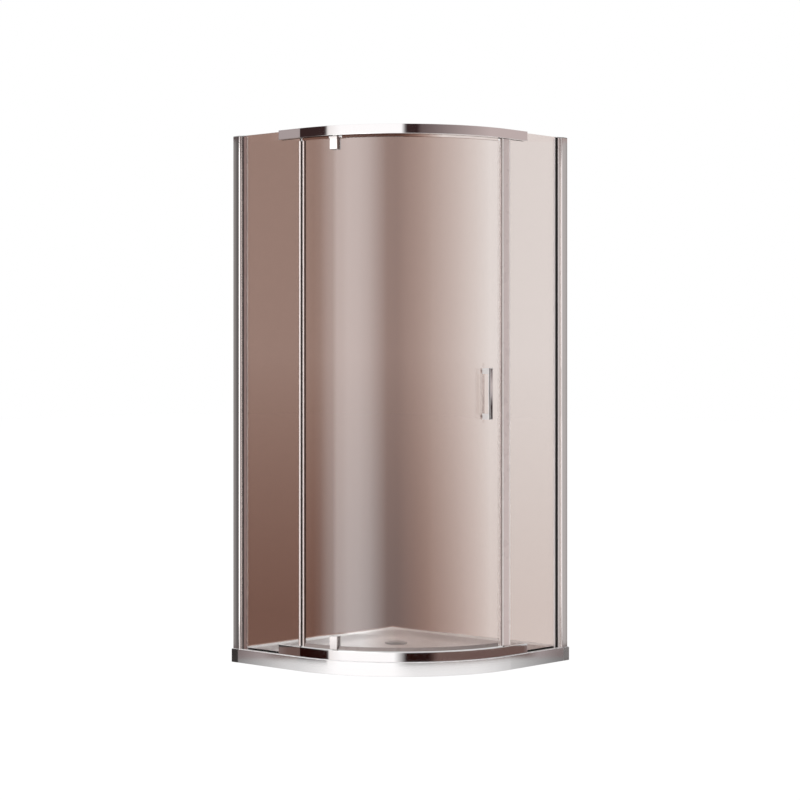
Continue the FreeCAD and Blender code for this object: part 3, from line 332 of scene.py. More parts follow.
# Tone at each height of the handle's flag, from 0 at its foot to 1 at its top
FLAG_TONES = ((0.05, FLAG), (0.36, FLAG), (0.46, GREY), (0.63, ROSE), (0.9, SHADE))

# Height of each ring's lower and upper edge, and its cards
CARD_RINGS = {
    "skirt_cards": (-1.2, -0.1815, grey_cards(SKIRT_CARDS)),
    "foot_rail_cards": (-0.1815, -0.13, RAIL_FOOT_CARDS),
    "sill_cards": (-0.13, -0.06, pane_cards(LOWER_BACK, SILL_LIMIT)),
    "lower_pane_cards": (-0.06, 0.952, pane_cards(LOWER_BACK)),
    "upper_pane_cards": (0.95, 2.112, pane_cards(UPPER_BACK)),
    "top_rail_cards": (2.112, 3.2, RAIL_TOP_CARDS),
}


# Shared shader groups

FLOAT, VECTOR, COLOUR = "NodeSocketFloat", "NodeSocketVector", "NodeSocketColor"


def new_group(name, inputs, outputs):
    """An empty shader group with named sockets: its tree, input node and output node."""
    tree = bpy.data.node_groups.new(name, "ShaderNodeTree")
    for label, kind, value in inputs:
        socket = tree.interface.new_socket(name=label, in_out="INPUT", socket_type=kind)
        socket.default_value = value
    for label, kind in outputs:
        tree.interface.new_socket(name=label, in_out="OUTPUT", socket_type=kind)
    return tree, tree.nodes.new("NodeGroupInput"), tree.nodes.new("NodeGroupOutput")


def feed(tree, socket, value):
    """Link a socket to another one's output, or set it to a plain value."""
    if isinstance(value, bpy.types.NodeSocket):
        tree.links.new(value, socket)
    else:
        socket.default_value = value


def add_math(tree, operation, first, second):
    """The result of an operation on two values or sockets."""
    node = tree.nodes.new("ShaderNodeMath")
    node.operation = operation
    feed(tree, node.inputs[0], first)
    feed(tree, node.inputs[1], second)
    return node.outputs["Value"]


def add_range(tree, source, low, high, to_low=0.0, to_high=1.0):
    """A value spread from to_low at low to to_high at high."""
    node = tree.nodes.new("ShaderNodeMapRange")
    limits = {"Value": source, "From Min": low, "From Max": high, "To Min": to_low,
              "To Max": to_high}
    for label, value in limits.items():
        feed(tree, node.inputs[label], value)
    return node.outputs["Result"]


def add_mix(tree, mask, outside, inside):
    """One colour where a mask is 0 and another where it is 1."""
    node = tree.nodes.new("ShaderNodeMix")
    node.data_type = "RGBA"
    for label, value in (("Factor", mask), ("A", outside), ("B", inside)):
        feed(tree, node.inputs[label], value)
    return node.outputs["Result"]


def add_noise(tree, place, scale, detail):
    """Cloudy noise at a place."""
    node = tree.nodes.new("ShaderNodeTexNoise")
    for label, value in (("Vector", place), ("Scale", scale), ("Detail", detail)):
        feed(tree, node.inputs[label], value)
    return node.outputs["Fac"]


def add_place(tree):
    """The point of the surface that is shaded."""
    return tree.nodes.new("ShaderNodeTexCoord").outputs["Object"]


def add_dot(tree, direction):
    """How far a point of the surface lies along a direction."""
    node = tree.nodes.new("ShaderNodeVectorMath")
    node.operation = "DOT_PRODUCT"
    tree.links.new(add_place(tree), node.inputs[0])
    feed(tree, node.inputs[1], direction)
    return node.outputs["Value"]


def soft_smudge():
    """Cloudy variation between two values, as a hand or a cloth leaves on a gloss surface."""
    tree = bpy.data.node_groups.get("Soft smudge")
    if tree:
        return tree
    tree, given, result = new_group(
        "Soft smudge",
        [("Scale", FLOAT, 9.0), ("Low", FLOAT, 0.1), ("High", FLOAT, 0.2)],
        [("Value", FLOAT)])
    cloud = add_noise(tree, add_place(tree), given.outputs["Scale"], CLOUD_DETAIL)
    spread = add_range(tree, cloud, *CLOUD_SPREAD, given.outputs["Low"], given.outputs["High"])
    tree.links.new(spread, result.inputs["Value"])
    return tree


def drawn_grain():
    """Fine lines along a direction, as drawing leaves on metal: a height and a roughness."""
    tree = bpy.data.node_groups.get("Drawn grain")
    if tree:
        return tree
    tree, given, result = new_group(
        "Drawn grain",
        [("Stretch", VECTOR, (1.0, 1.0, 1.0)), ("Low", FLOAT, 0.2), ("High", FLOAT, 0.3)],
        [("Height", FLOAT), ("Roughness", FLOAT)])
    stretch = tree.nodes.new("ShaderNodeVectorMath")
    stretch.operation = "MULTIPLY"
    tree.links.new(add_place(tree), stretch.inputs[0])
    tree.links.new(given.outputs["Stretch"], stretch.inputs[1])
    lines = add_noise(tree, stretch.outputs["Vector"], 1.0, LINE_DETAIL)
    spread = add_range(tree, lines, *LINE_SPREAD, given.outputs["Low"], given.outputs["High"])
    tree.links.new(lines, result.inputs["Height"])
    tree.links.new(spread, result.inputs["Roughness"])
    return tree


def painted_shade_tint():
    """A tint with painted shade and light: denser at its foot and mid-curve, pale at the right,
    weak below a sill line.
    """
    tree = bpy.data.node_groups.get("Painted shade tint")
    if tree:
        return tree
    tree, given, result = new_group(
        "Painted shade tint",
        [("Tint", COLOUR, (0.3, 0.2, 0.2, 1.0)), ("Deep", FLOAT, 1.0), ("Pale", FLOAT, 0.3),
         ("Middle", FLOAT, 1.4), ("Foot", FLOAT, 1.5), ("Thin end", FLOAT, 0.3),
         ("Sill", FLOAT, 0.2), ("Sill middle", FLOAT, 0.5), ("Sill right", FLOAT, 0.3)],
        [("Color", COLOUR)])
    across = add_dot(tree, ACROSS)
    height = add_dot(tree, UP)
    spread = add_range(tree, across, TINT_LEFT, given.outputs["Thin end"], given.outputs["Deep"],
                       given.outputs["Pale"])
    deepen = add_range(tree, across, DEEPEN_START, DEEPEN_END, 1.0, given.outputs["Middle"])
    middle = add_range(tree, across, EASE_START, EASE_END, deepen, 1.0)
    rise = add_range(tree, height, FOOT_LOW, FOOT_HIGH, given.outputs["Foot"], 1.0)
    density = add_math(tree, "MULTIPLY", add_math(tree, "MULTIPLY", spread, middle), rise)
    line = 1.0
    for start, slope in SILL_LINES:
        edge = add_math(tree, "ADD", add_math(tree, "MULTIPLY", across, slope), start)
        line = add_math(tree, "MINIMUM", edge, line)
    above = add_math(tree, "SUBTRACT", height, line)
    sill = add_range(tree, across, SILL_DEEPEN, TINT_LEFT, given.outputs["Sill"],
                     given.outputs["Sill middle"])
    sill = add_range(tree, across, TINT_LEFT, TINT_RIGHT, sill, given.outputs["Sill right"])
    density = add_range(tree, above, -SILL_SOFT, SILL_SOFT, sill, density)
    tint = tree.nodes.new("ShaderNodeGamma")
    tree.links.new(given.outputs["Tint"], tint.inputs["Color"])
    tree.links.new(density, tint.inputs["Gamma"])
    tree.links.new(tint.outputs["Color"], result.inputs["Color"])
    return tree


def band_mask():
    """1 between two distances along a direction, and 0 outside them."""
    tree = bpy.data.node_groups.get("Band mask")
    if tree:
        return tree
    tree, given, result = new_group(
        "Band mask",
        [("Direction", VECTOR, RIGHT), ("Start", FLOAT, 0.0), ("End", FLOAT, 1.0)],
        [("Mask", FLOAT)])
    along = add_dot(tree, given.outputs["Direction"])
    past = add_math(tree, "GREATER_THAN", along, given.outputs["Start"])
    before = add_math(tree, "LESS_THAN", along, given.outputs["End"])
    tree.links.new(add_math(tree, "MULTIPLY", past, before), result.inputs["Mask"])
    return tree


# Materials

def opaque(colour):
    """A colour with full opacity."""
    return (*colour, 1.0)


def new_material(name):
    """A material with a plain surface shader: the material, its tree and the shader."""
    material = bpy.data.materials.new(name)
    material.use_nodes = True
    tree = material.node_tree
    return material, tree, tree.nodes["Principled BSDF"]


def add_group(tree, group, values):
    """A shared group placed in a material with its own values."""
    node = tree.nodes.new("ShaderNodeGroup")
    node.node_tree = group
    for label, value in values.items():
        node.inputs[label].default_value = value
    return node


def add_band(tree, direction, start, end):
    """A mask that is 1 between two distances along a direction."""
    band = add_group(tree, band_mask(), {"Direction": direction, "Start": start, "End": end})
    return band.outputs["Mask"]


def add_smudge(tree, shader, finish):
    """Give a shader the cloudy roughness of a smudged finish."""
    low, high, scale = SMUDGES[finish]
    cloud = add_group(tree, soft_smudge(), {"Scale": scale, "Low": low, "High": high})
    tree.links.new(cloud.outputs["Value"], shader.inputs["Roughness"])


def show_mix(tree, share, first, second, output="Material Output"):
    """Show one shader, and another one by a share."""
    mix = tree.nodes.new("ShaderNodeMixShader")
    for socket, value in zip(mix.inputs, (share, first, second)):
        tree.links.new(value, socket)
    tree.links.new(mix.outputs["Shader"], tree.nodes[output].inputs["Surface"])


def smudged(name, colour, metallic=0.0, specular=0.5, alpha=1.0):
    """A smooth finish with a cloudy roughness."""
    material, tree, shader = new_material(name)
    shader.inputs["Base Color"].default_value = opaque(colour)
    shader.inputs["Metallic"].default_value = metallic
    shader.inputs["Specular IOR Level"].default_value = specular
    shader.inputs["Alpha"].default_value = alpha
    add_smudge(tree, shader, name)
    return material


def drawn_metal(name, colour):
    """A metal with fine lines along one direction."""
    low, high, stretch, strength = GRAINS[name]
    material, tree, shader = new_material(name)
    shader.inputs["Base Color"].default_value = opaque(colour)
    shader.inputs["Metallic"].default_value = 1.0
    grain = add_group(tree, drawn_grain(), {"Stretch": stretch, "Low": low, "High": high})
    relief = tree.nodes.new("ShaderNodeBump")
    relief.inputs["Strength"].default_value = strength
    relief.inputs["Distance"].default_value = GRAIN_DEPTH
    tree.links.new(grain.outputs["Height"], relief.inputs["Height"])
    tree.links.new(grain.outputs["Roughness"], shader.inputs["Roughness"])
    tree.links.new(relief.outputs["Normal"], shader.inputs["Normal"])
    return material


def zoned_vinyl(name, colour, zones):
    """A vinyl seal with zones of other colours, each with its direction, limits and colour: painted
    shade on the seal.
    """
    material = smudged(name, colour)
    tree = material.node_tree
    painted = opaque(colour)
    for direction, (start, end), zone_colour in zones:
        mask = add_band(tree, direction, start, end)
        painted = add_mix(tree, mask, painted, opaque(zone_colour))
    tree.links.new(painted, tree.nodes["Principled BSDF"].inputs["Base Color"])
    return material


def bronze_glass(name, colours, deep, pale, thin_end, roughness, index):
    """Tinted glass or clear vinyl with painted shade graded into its tint, which lets the lamps
    through to what it encloses.
    """
    material, tree, shader = new_material(name)
    tint = add_group(tree, painted_shade_tint(), {
        "Tint": opaque(colours.tint), "Deep": deep, "Pale": pale, "Thin end": thin_end,
        "Middle": colours.middle_shade_density, "Foot": colours.foot_shade_density,
        "Sill": colours.sill_density, "Sill middle": colours.sill_middle_density,
        "Sill right": colours.sill_pale_density})
    shader.inputs["Roughness"].default_value = roughness
    shader.inputs["IOR"].default_value = index
    shader.inputs["Transmission Weight"].default_value = 1.0
    tree.links.new(tint.outputs["Color"], shader.inputs["Base Color"])
    one_face = tree.nodes.new("ShaderNodeGamma")
    one_face.inputs["Gamma"].default_value = ONE_FACE
    clear = tree.nodes.new("ShaderNodeBsdfTransparent")
    tree.links.new(tint.outputs["Color"], one_face.inputs["Color"])
    tree.links.new(one_face.outputs["Color"], clear.inputs["Color"])
    path = tree.nodes.new("ShaderNodeLightPath").outputs
    straight = add_math(tree, "MAXIMUM", path["Is Shadow Ray"], path["Is Diffuse Ray"])
    show_mix(tree, straight, shader.outputs["BSDF"], clear.outputs["BSDF"])
    return material


def outward_at(angle):
    """The level direction out of the curve at so many degrees round it."""
    turn = math.radians(angle)
    return Vector((math.sin(turn), -math.cos(turn), 0.0))


def chrome_pull(colours):
    """The handle: bright satin posts, and in front of them a mirror-like bar with a painted dark
    reflection along its edge.
    """
    material = smudged("Chrome pull", colours.satin, metallic=1.0)
    tree = material.node_tree
    shader = tree.nodes["Principled BSDF"]
    outward = outward_at(HANDLE_ANGLE)
    centre = outward.dot(CURVE_CENTRE)
    bar, edge = [add_band(tree, outward, centre + start, centre + end)
                 for start, end in (BAR_RADII, BAR_REFLECTION_RADII)]
    tree.links.new(add_range(tree, bar, 0.0, 1.0, POST_METALLIC, 1.0), shader.inputs["Metallic"])
    # Paint the dark reflection on the bar's edge
    painted = add_mix(tree, edge, opaque(colours.satin), opaque(colours.bar_painted_reflection))
    tree.links.new(painted, shader.inputs["Base Color"])
    return material


def coat(material, *names):
    """Give CAD nodes a finish."""
    for name in names:
        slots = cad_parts[name].data.materials
        slots.clear()
        slots.append(material)


def both_sides(*stems):
    """The left and right nodes of each stem."""
    return [f"{stem}_{side}" for stem in stems for side in ("left", "right")]


def both_ends(*stems):
    """The top and bottom nodes of each stem."""
    return [f"{end}_{stem}" for stem in stems for end in ("top", "bottom")]


# Modelling

def deselect():
    """Leave nothing selected."""
    bpy.ops.object.select_all(action="DESELECT")


def take(piece):
    """Make a piece the only selected one and the active one."""
    deselect()
    piece.select_set(True)
    bpy.context.view_layer.objects.active = piece


def apply_modifiers(piece):
    """Make a piece's modifiers part of its mesh."""
    take(piece)
    for modifier in list(piece.modifiers):
        bpy.ops.object.modifier_apply(modifier=modifier.name)


def turned_to(direction):
    """The turn that takes +Z to a direction."""
    return Vector(direction).to_track_quat("Z", "Y").to_matrix().to_4x4()


def add_cylinder(sides, radius, depth, height):
    """A cylinder on +Z with its middle at a height."""
    deselect()
    bpy.ops.mesh.primitive_cylinder_add(
        vertices=sides, radius=radius, depth=depth, location=(0, 0, height))
    return bpy.context.object


def round_edges(piece, width, segments):
    """Round a piece's sharp edges."""
    bevel = piece.modifiers.new("Edge round", "BEVEL")
    bevel.width = width
    bevel.segments = segments
    bevel.limit_method = "ANGLE"
    apply_modifiers(piece)


def join(pieces):
    """Make several pieces one: the first of them."""
    deselect()
    for piece in pieces:
        piece.select_set(True)
    bpy.context.view_layer.objects.active = pieces[0]
    bpy.ops.object.join()
    return pieces[0]


def model_screw(settings, head_radius, head_height, shank_radius, shank_length):
    """A socket-head screw on +Z with the underside of its head at the origin."""
    head = add_cylinder(settings.sides, head_radius, head_height, head_height / 2)
    round_edges(head, settings.edge_round, segments=3)
    socket_radius = settings.socket_width / math.sqrt(3)
    socket = add_cylinder(6, socket_radius, 2 * settings.socket_depth, head_height)
    hollow = head.modifiers.new("Socket", "BOOLEAN")
    hollow.operation = "DIFFERENCE"
    hollow.solver = "EXACT"
    hollow.object = socket
    apply_modifiers(head)
    bpy.data.objects.remove(socket)
    shank = add_cylinder(settings.sides, shank_radius, shank_length, -shank_length / 2)
    round_edges(shank, settings.edge_round, segments=1)
    screw = join([head, shank])
    bpy.ops.object.transform_apply(location=True, rotation=True, scale=True)
    return screw


def set_screws(master, name, node, body, material, seats, direction):
    """Copies of a screw at its seats, joined into the piece that stands for a CAD node."""
    copies = []
    for seat in seats:
        copy = master.copy()
        copy.data = master.data.copy()
        bpy.context.collection.objects.link(copy)
        copy.data.transform(Matrix.Translation(seat) @ turned_to(direction))
        copies.append(copy)
    piece = join(copies)
    piece.name = name
    take(piece)
    bpy.ops.object.shade_smooth_by_angle(angle=SMOOTH_ANGLE)
    piece.data.materials.clear()
    piece.data.materials.append(material)
    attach(piece, body)
    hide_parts(node)


# Operators

class SHOWER_OT_finish_tray(bpy.types.Operator):
    """Acrylic on the tray, satin metal on its skirt and darker metal with painted shade on the
    skirt's end caps
    """

    bl_idname = "shower.finish_tray"
    bl_label = "Finish tray and skirt"

    def execute(self, context):
        colours = context.scene.shower_finish
        coat(smudged("Tray acrylic", colours.tray_white, specular=0.35), "shower_tray")
        coat(drawn_metal("Satin skirt", colours.satin), "tray_skirt")
        coat(smudged("Right shaded cap", colours.right_cap_shade, metallic=1.0), "skirt_cap_right")
        coat(smudged("Gunmetal cap", colours.shaded_metal, metallic=1.0), "skirt_cap_left")
        return {"FINISHED"}


class SHOWER_OT_finish_waste(bpy.types.Operator):
    """Chrome darkened with painted shade on the waste cover, and plastic and rubber on what is
    under it
    """

    bl_idname = "shower.finish_waste"
    bl_label = "Finish waste"

    def execute(self, context):
        colours = context.scene.shower_finish
        coat(smudged("Shaded waste chrome", colours.shaded_waste_chrome, metallic=1.0), "waste_cover")
        coat(smudged("Waste plastic", colours.grey_plastic), "waste_body")
        coat(smudged("Waste rubber", colours.rubber), "waste_seal")
        return {"FINISHED"}


class SHOWER_OT_finish_profiles(bpy.types.Operator):
    """Aluminium on the wall profiles, painted shade and light on the adjusting profiles, plastic on
    their caps, rubber on gaskets and sill seals, painted lighter brown on the left gasket
    """

    bl_idname = "shower.finish_profiles"
    bl_label = "Finish wall profiles"

    def execute(self, context):
        colours = context.scene.shower_finish
        coat(drawn_metal("Polished aluminium", colours.aluminium), *both_sides("wall_channel"))
        coat(drawn_metal("Shaded aluminium", colours.shaded_aluminium), "adjusting_profile_left")
        coat(drawn_metal("Lit aluminium", colours.lit_aluminium), "adjusting_profile_right")
        coat(smudged("Profile cap", colours.grey_plastic), *both_sides("profile_cap"))
        coat(smudged("Black rubber", colours.rubber, specular=0.1),
             "glazing_gasket_right", *both_sides("sill_seal"))
        # The left gasket's brown is painted light on black rubber
        coat(smudged("Lit brown rubber", colours.lit_brown_rubber), "glazing_gasket_left")
        return {"FINISHED"}


class SHOWER_OT_finish_glass(bpy.types.Operator):
    """Bronze tinted glass, graded with painted shade, on the fixed panels and the door"""

    bl_idname = "shower.finish_glass"
    bl_label = "Finish glass"

    def execute(self, context):
        colours = context.scene.shower_finish
        glass = bronze_glass(
            "Bronze glass", colours, deep=1.0, pale=colours.pale_density, thin_end=TINT_RIGHT,
            roughness=0.0, index=COATED_GLASS_IOR)
        coat(glass, "door_glass", *both_sides("fixed_glass"))
        return {"FINISHED"}


class SHOWER_OT_finish_rails(bpy.types.Operator):
    """Chrome on the rails and end plates, bronze vinyl graded with painted shade on the stops,
    plastic and nylon inside
    """

    bl_idname = "shower.finish_rails"
    bl_label = "Finish rails"

    def execute(self, context):
        colours = context.scene.shower_finish
        coat(drawn_metal("Chrome rail", colours.chrome), *both_ends("rail"))
        coat(smudged("Chrome plate", colours.chrome, metallic=1.0),
             *both_ends(*both_sides("rail_cap")))
        vinyl = bronze_glass(
            "Bronze vinyl", colours, deep=STRIP_DEEP, pale=STRIP_PALE, thin_end=STRIP_RIGHT,
            roughness=STRIP_ROUGHNESS, index=VINYL_IOR)
        coat(vinyl, "stop_strip_long", "stop_strip_short")
        coat(smudged("Packer", colours.grey_plastic), *both_ends(*both_sides("packer")))
        coat(smudged("Bush nylon", colours.nylon), *both_ends("pivot_bush"))
        return {"FINISHED"}


class SHOWER_OT_finish_seals(bpy.types.Operator):
    """Zoned vinyl with painted shade on the upright seals, smoked on the sweeps, clear or white on
    the rest
    """

    bl_idname = "shower.finish_seals"
    bl_label = "Finish seals"

    def execute(self, context):
        colours = context.scene.shower_finish
        lip, edge, white = colours.vinyl_lip_shade, colours.vinyl_edge_shade, colours.white_vinyl
        behind_shade = (0.0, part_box("strike_seal_right")[1].x - STRIKE_SHADE_DEPTH)
        # The darker zones are painted shade: lips and edges at the gaps, the strike seal's middle
        # and edge
        coat(zoned_vinyl("Lipped vinyl", colours.vinyl, [
            (RIGHT, PANE_EDGE_ZONE, edge), (RIGHT, PANE_LIP_ZONE, lip)]), "pane_seal_left")
        coat(zoned_vinyl("Nosed vinyl", colours.vinyl, [
            (RIGHT, DOOR_LIP_ZONE, lip), (RIGHT, DOOR_EDGE_ZONE, edge)]), "door_seal_left")
        coat(zoned_vinyl("Strike vinyl", white, [
            (FRONT, STRIKE_SKIN_ZONE, colours.vinyl_skin_shade),
            (FRONT, STRIKE_SHADE_ZONE, colours.strike_painted_shade),
            (RIGHT, behind_shade, white)]), "strike_seal_right")
        coat(smudged("Clear vinyl", white, alpha=0.07), "door_magnet_seal",
             "handle_outer_pads", "handle_inner_pad", "glazing_beads_left")
        coat(smudged("White bead", white, alpha=0.85), "glazing_beads_right")
        coat(smudged("Smoked vinyl", colours.smoked_vinyl, alpha=0.9),
             "door_sweep_long", "door_sweep_short")
        return {"FINISHED"}


class SHOWER_OT_finish_door_fittings(bpy.types.Operator):
    """Chrome on clamps and handle, darkened on the clamps as painted shade, a clear plate behind
    it, rubber and steel at the pivots
    """

    bl_idname = "shower.finish_door_fittings"
    bl_label = "Finish door fittings"

    def execute(self, context):
        colours = context.scene.shower_finish
        # Painted shade: darker chrome on the clamps
        coat(smudged("Shaded chrome fitting", colours.fitting, metallic=1.0),
             *both_ends("clamp_outer", "clamp_inner"))
        coat(chrome_pull(colours), "handle_pull")
        coat(smudged("Clear plate", colours.white_vinyl, alpha=0.14), "handle_back_plate")
        coat(smudged("Clamp rubber", colours.rubber), *both_ends("clamp_gaskets"))
        coat(drawn_metal("Turned steel", colours.steel), *both_ends("pivot_pin"))
        return {"FINISHED"}


class SHOWER_OT_model_screws(bpy.types.Operator):
    """Socket-head screws in the wall profiles, the clamps and the handle"""

    bl_idname = "shower.model_screws"
    bl_label = "Model screws"

    def execute(self, context):
        settings = context.scene.shower_screws
        steel = drawn_metal("Screw steel", context.scene.shower_finish.steel)
        inward = {"left": Vector((0, 1, 0)), "right": Vector((-1, 0, 0))}
        for side, way in inward.items():
            node = f"locking_screws_{side}"
            self.replace(settings, node, "frame", steel, way, LOCKING_SCREW, count=3)
        for node, angle in (("top_clamp_screws", CLAMP_ANGLE), ("bottom_clamp_screws", CLAMP_ANGLE),
                            ("handle_screws", HANDLE_ANGLE)):
            self.replace(settings, node, "door", steel, -outward_at(angle), DOOR_SCREW, count=2)
        return {"FINISHED"}

    def replace(self, settings, node, body, steel, way, screw, count):
        """Stand a row of screws, one above the other, in for a CAD node whose heads face a way."""
        head_radius, head_height, shank_radius = screw
        low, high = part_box(node)
        middle = (low + high) / 2
        across, along = abs(way.x), abs(way.y)
        size = high - low
        if across < along:
            length = (size.y - across * 2 * head_radius) / along
        else:
            length = (size.x - along * 2 * head_radius) / across
        seat = middle + way * (length / 2 - head_height)
        pitch = (size.z - 2 * head_radius) / (count - 1)
        foot = low.z + head_radius
        seats = [Vector((seat.x, seat.y, foot + step * pitch)) for step in range(count)]
        master = model_screw(settings, head_radius, head_height, shank_radius, length - head_height)
        set_screws(master, f"{node}_socket_head", node, body, steel, seats, way)
        bpy.data.objects.remove(master)


class SHOWER_OT_set_stage(bpy.types.Operator):
    """Floor, cards, lamps, daylight and the camera"""

    bl_idname = "shower.set_stage"
    bl_label = "Set stage"

    def execute(self, context):
        settings = context.scene.shower_stage
        self.lay_floor(settings)
        for name, (low, high, cards) in CARD_RINGS.items():
            self.hang_cards(settings, name, low, high, cards)
        self.hang_flag(settings)
        self.set_lamps(settings)
        self.set_daylight(settings)
        self.set_camera(settings)
        context.scene.view_settings.view_transform = "Standard"
        return {"FINISHED"}

    def lay_floor(self, settings):
        """A pale floor, white to the camera but for a trace of shadow."""
        deselect()
        bpy.ops.mesh.primitive_plane_add(size=settings.floor_size, location=MIDDLE)
        floor = bpy.context.object
        floor.name = "floor"
        floor.visible_glossy = False
        material, tree, paint = new_material("Pale floor")
        paint.inputs["Base Color"].default_value = opaque(FLOOR_PAINT)
        add_smudge(tree, paint, "Pale floor")
        glow = tree.nodes.new("ShaderNodeEmission")
        glow.inputs["Strength"].default_value = settings.floor_white
        path = tree.nodes.new("ShaderNodeLightPath").outputs
        seen = add_math(tree, "MAXIMUM", path["Is Camera Ray"], path["Is Transmission Ray"])
        share = add_math(tree, "MULTIPLY", seen, settings.floor_glow)
        share = add_math(tree, "MULTIPLY", share, self.past_tray(tree))
        show_mix(tree, share, paint.outputs["BSDF"], glow.outputs["Emission"])
        floor.data.materials.append(material)

    def past_tray(self, tree):
        """1 on the floor outside a circle under the tray, and 0 inside it."""
        reach = tree.nodes.new("ShaderNodeVectorMath")
        reach.operation = "LENGTH"
        tree.links.new(add_place(tree), reach.inputs[0])
        return add_math(tree, "GREATER_THAN", reach.outputs["Value"], UNDER_TRAY)

    def hang_cards(self, settings, name, low, high, cards):
        """A ring of cards that only reflections see."""
        deselect()
        bpy.ops.mesh.primitive_cylinder_add(
            vertices=CARD_SIDES, radius=settings.card_radius, depth=high - low,
            end_fill_type="NOTHING", location=(MIDDLE.x, MIDDLE.y, (low + high) / 2))
        ring = bpy.context.object
        ring.name = name
        strength = max(max(colour) for _, colour in cards)
        tree, ramp = self.paint_card(ring, strength)
        turn = tree.nodes.new("ShaderNodeVectorRotate")
        turn.rotation_type = "Z_AXIS"
        turn.inputs["Angle"].default_value = math.radians(DIAGONAL)
        around = tree.nodes.new("ShaderNodeTexGradient")
        around.gradient_type = "RADIAL"
        tree.links.new(add_place(tree), turn.inputs["Vector"])
        tree.links.new(turn.outputs["Vector"], around.inputs["Vector"])
        tree.links.new(around.outputs["Fac"], ramp.inputs["Fac"])
        stops = ramp.color_ramp.elements
        shades = [opaque([part / strength for part in colour]) for _, colour in cards]
        for (angle, _), shade in zip(cards[1:-1], shades[1:-1]):
            stops.new(angle / 360.0 + 0.5).color = shade
        stops[0].color = shades[0]
        stops[len(stops) - 1].color = shades[-1]

    def hang_flag(self, settings):
        """A narrow flag that the handle's bar mirrors, dark at its foot and shaded at its top."""
        turn = math.radians(settings.flag_angle - DIAGONAL)
        reach = settings.card_radius - settings.flag_width
        deselect()
        bpy.ops.mesh.primitive_plane_add(
            size=1.0, rotation=(math.radians(90), 0, turn + math.radians(90)),
            location=(MIDDLE.x + reach * math.cos(turn), MIDDLE.y + reach * math.sin(turn),
                      settings.flag_height))
        flag = bpy.context.object
        flag.name = "handle_flag"
        flag.scale = (settings.flag_width, settings.flag_drop, 1.0)
        tree, ramp = self.paint_card(flag, 1.0)
        split = tree.nodes.new("ShaderNodeSeparateXYZ")
        tree.links.new(add_place(tree), split.inputs["Vector"])
        tree.links.new(add_math(tree, "ADD", split.outputs["Y"], 0.5), ramp.inputs["Fac"])
        stops = ramp.color_ramp.elements
        for start, tone in FLAG_TONES:
            stops.new(start).color = opaque(tone)
        stops.remove(stops[len(stops) - 1])
        stops.remove(stops[0])

    def paint_card(self, card, strength):
        """Let a card glow in a ramp's tones for reflections alone: its tree and the ramp."""
        card.visible_camera = False
        card.visible_diffuse = False
        card.visible_transmission = False
        card.visible_shadow = False
        card.visible_volume_scatter = False
        material, tree, plain = new_material(f"{card.name}_paint")
        tree.nodes.remove(plain)
        ramp = tree.nodes.new("ShaderNodeValToRGB")
        glow = tree.nodes.new("ShaderNodeEmission")
        glow.inputs["Strength"].default_value = strength
        tree.links.new(ramp.outputs["Color"], glow.inputs["Color"])
        tree.links.new(glow.outputs["Emission"], tree.nodes["Material Output"].inputs["Surface"])
        card.data.materials.append(material)
        return tree, ramp

    def set_lamps(self, settings):
        """A large soft lamp at the front left and one above the tray."""
        lamps = (("key", settings.key_power, KEY_SIZE, KEY_PLACE),
                 ("top", settings.top_power, TOP_SIZE, TOP_PLACE))
        for name, power, size, spot in lamps:
            lamp = bpy.data.lights.new(name, "AREA")
            lamp.energy = power
            lamp.size = size
            holder = bpy.data.objects.new(name, lamp)
            bpy.context.collection.objects.link(holder)
            holder.location = spot
            holder.rotation_euler = (AIM - spot).to_track_quat("-Z", "Y").to_euler()
            holder.visible_glossy = False
            holder.visible_transmission = False

    def set_daylight(self, settings):
        """Even light, with a white background wherever it is seen."""
        world = bpy.data.worlds.new("Studio")
        bpy.context.scene.world = world
        world.use_nodes = True
        tree = world.node_tree
        light = tree.nodes["Background"]
        light.inputs["Color"].default_value = opaque(WHITE)
        light.inputs["Strength"].default_value = settings.daylight
        white = tree.nodes.new("ShaderNodeBackground")
        white.inputs["Color"].default_value = opaque(WHITE)
        path = tree.nodes.new("ShaderNodeLightPath").outputs
        seen = add_math(tree, "MAXIMUM", path["Is Camera Ray"], path["Is Glossy Ray"])
        seen = add_math(tree, "MAXIMUM", seen, path["Is Transmission Ray"])
        show_mix(tree, seen, light.outputs["Background"], white.outputs["Background"],
                 "World Output")

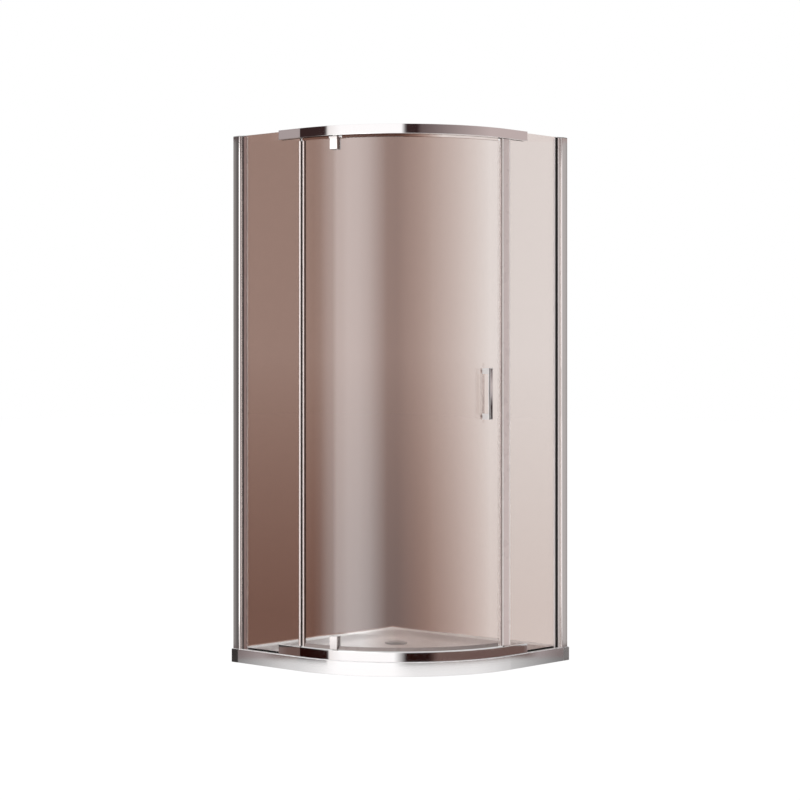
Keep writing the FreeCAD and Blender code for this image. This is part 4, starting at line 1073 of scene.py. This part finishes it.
    def set_camera(self, settings):
        """A level camera at the photograph's place."""
        lens = bpy.data.cameras.new("Camera")
        lens.lens = settings.lens
        lens.shift_x = settings.shift_x
        lens.shift_y = settings.shift_y
        camera = bpy.data.objects.new("Camera", lens)
        bpy.context.collection.objects.link(camera)
        half = math.sqrt(0.5)
        camera.location = ((settings.distance + settings.sideways) * half,
                           (settings.sideways - settings.distance) * half, settings.height)
        camera.rotation_euler = (math.radians(90), 0, settings.heading)
        bpy.context.scene.camera = camera


class SHOWER_PT_build(bpy.types.Panel):
    """The enclosure's pieces, finishes and stage"""

    bl_idname = "SHOWER_PT_build"
    bl_label = "Shower enclosure"
    bl_space_type = "VIEW_3D"
    bl_region_type = "UI"
    bl_category = "Shower"

    def draw(self, context):
        for operator in OPERATORS:
            self.layout.operator(operator.bl_idname)
        for name, settings in SETTINGS.items():
            column = self.layout.column()
            for setting in settings.__annotations__:
                column.prop(getattr(context.scene, name), setting)


SETTINGS = {
    "shower_finish": FinishSettings,
    "shower_screws": ScrewSettings,
    "shower_stage": StageSettings,
}
OPERATORS = (
    SHOWER_OT_finish_tray,
    SHOWER_OT_finish_waste,
    SHOWER_OT_finish_profiles,
    SHOWER_OT_finish_glass,
    SHOWER_OT_finish_rails,
    SHOWER_OT_finish_seals,
    SHOWER_OT_finish_door_fittings,
    SHOWER_OT_model_screws,
    SHOWER_OT_set_stage,
)


def register():
    for settings in SETTINGS.values():
        bpy.utils.register_class(settings)
    for operator in OPERATORS:
        bpy.utils.register_class(operator)
    bpy.utils.register_class(SHOWER_PT_build)
    for name, settings in SETTINGS.items():
        setattr(bpy.types.Scene, name, PointerProperty(type=settings))


def unregister():
    for name in SETTINGS:
        delattr(bpy.types.Scene, name)
    bpy.utils.unregister_class(SHOWER_PT_build)
    for operator in reversed(OPERATORS):
        bpy.utils.unregister_class(operator)
    for settings in reversed(SETTINGS.values()):
        bpy.utils.unregister_class(settings)


def main():
    register()
    bpy.ops.shower.finish_tray()
    bpy.ops.shower.finish_waste()
    bpy.ops.shower.finish_profiles()
    bpy.ops.shower.finish_glass()
    bpy.ops.shower.finish_rails()
    bpy.ops.shower.finish_seals()
    bpy.ops.shower.finish_door_fittings()
    bpy.ops.shower.model_screws()
    bpy.ops.shower.set_stage()


if __name__ == "__main__":
    main()
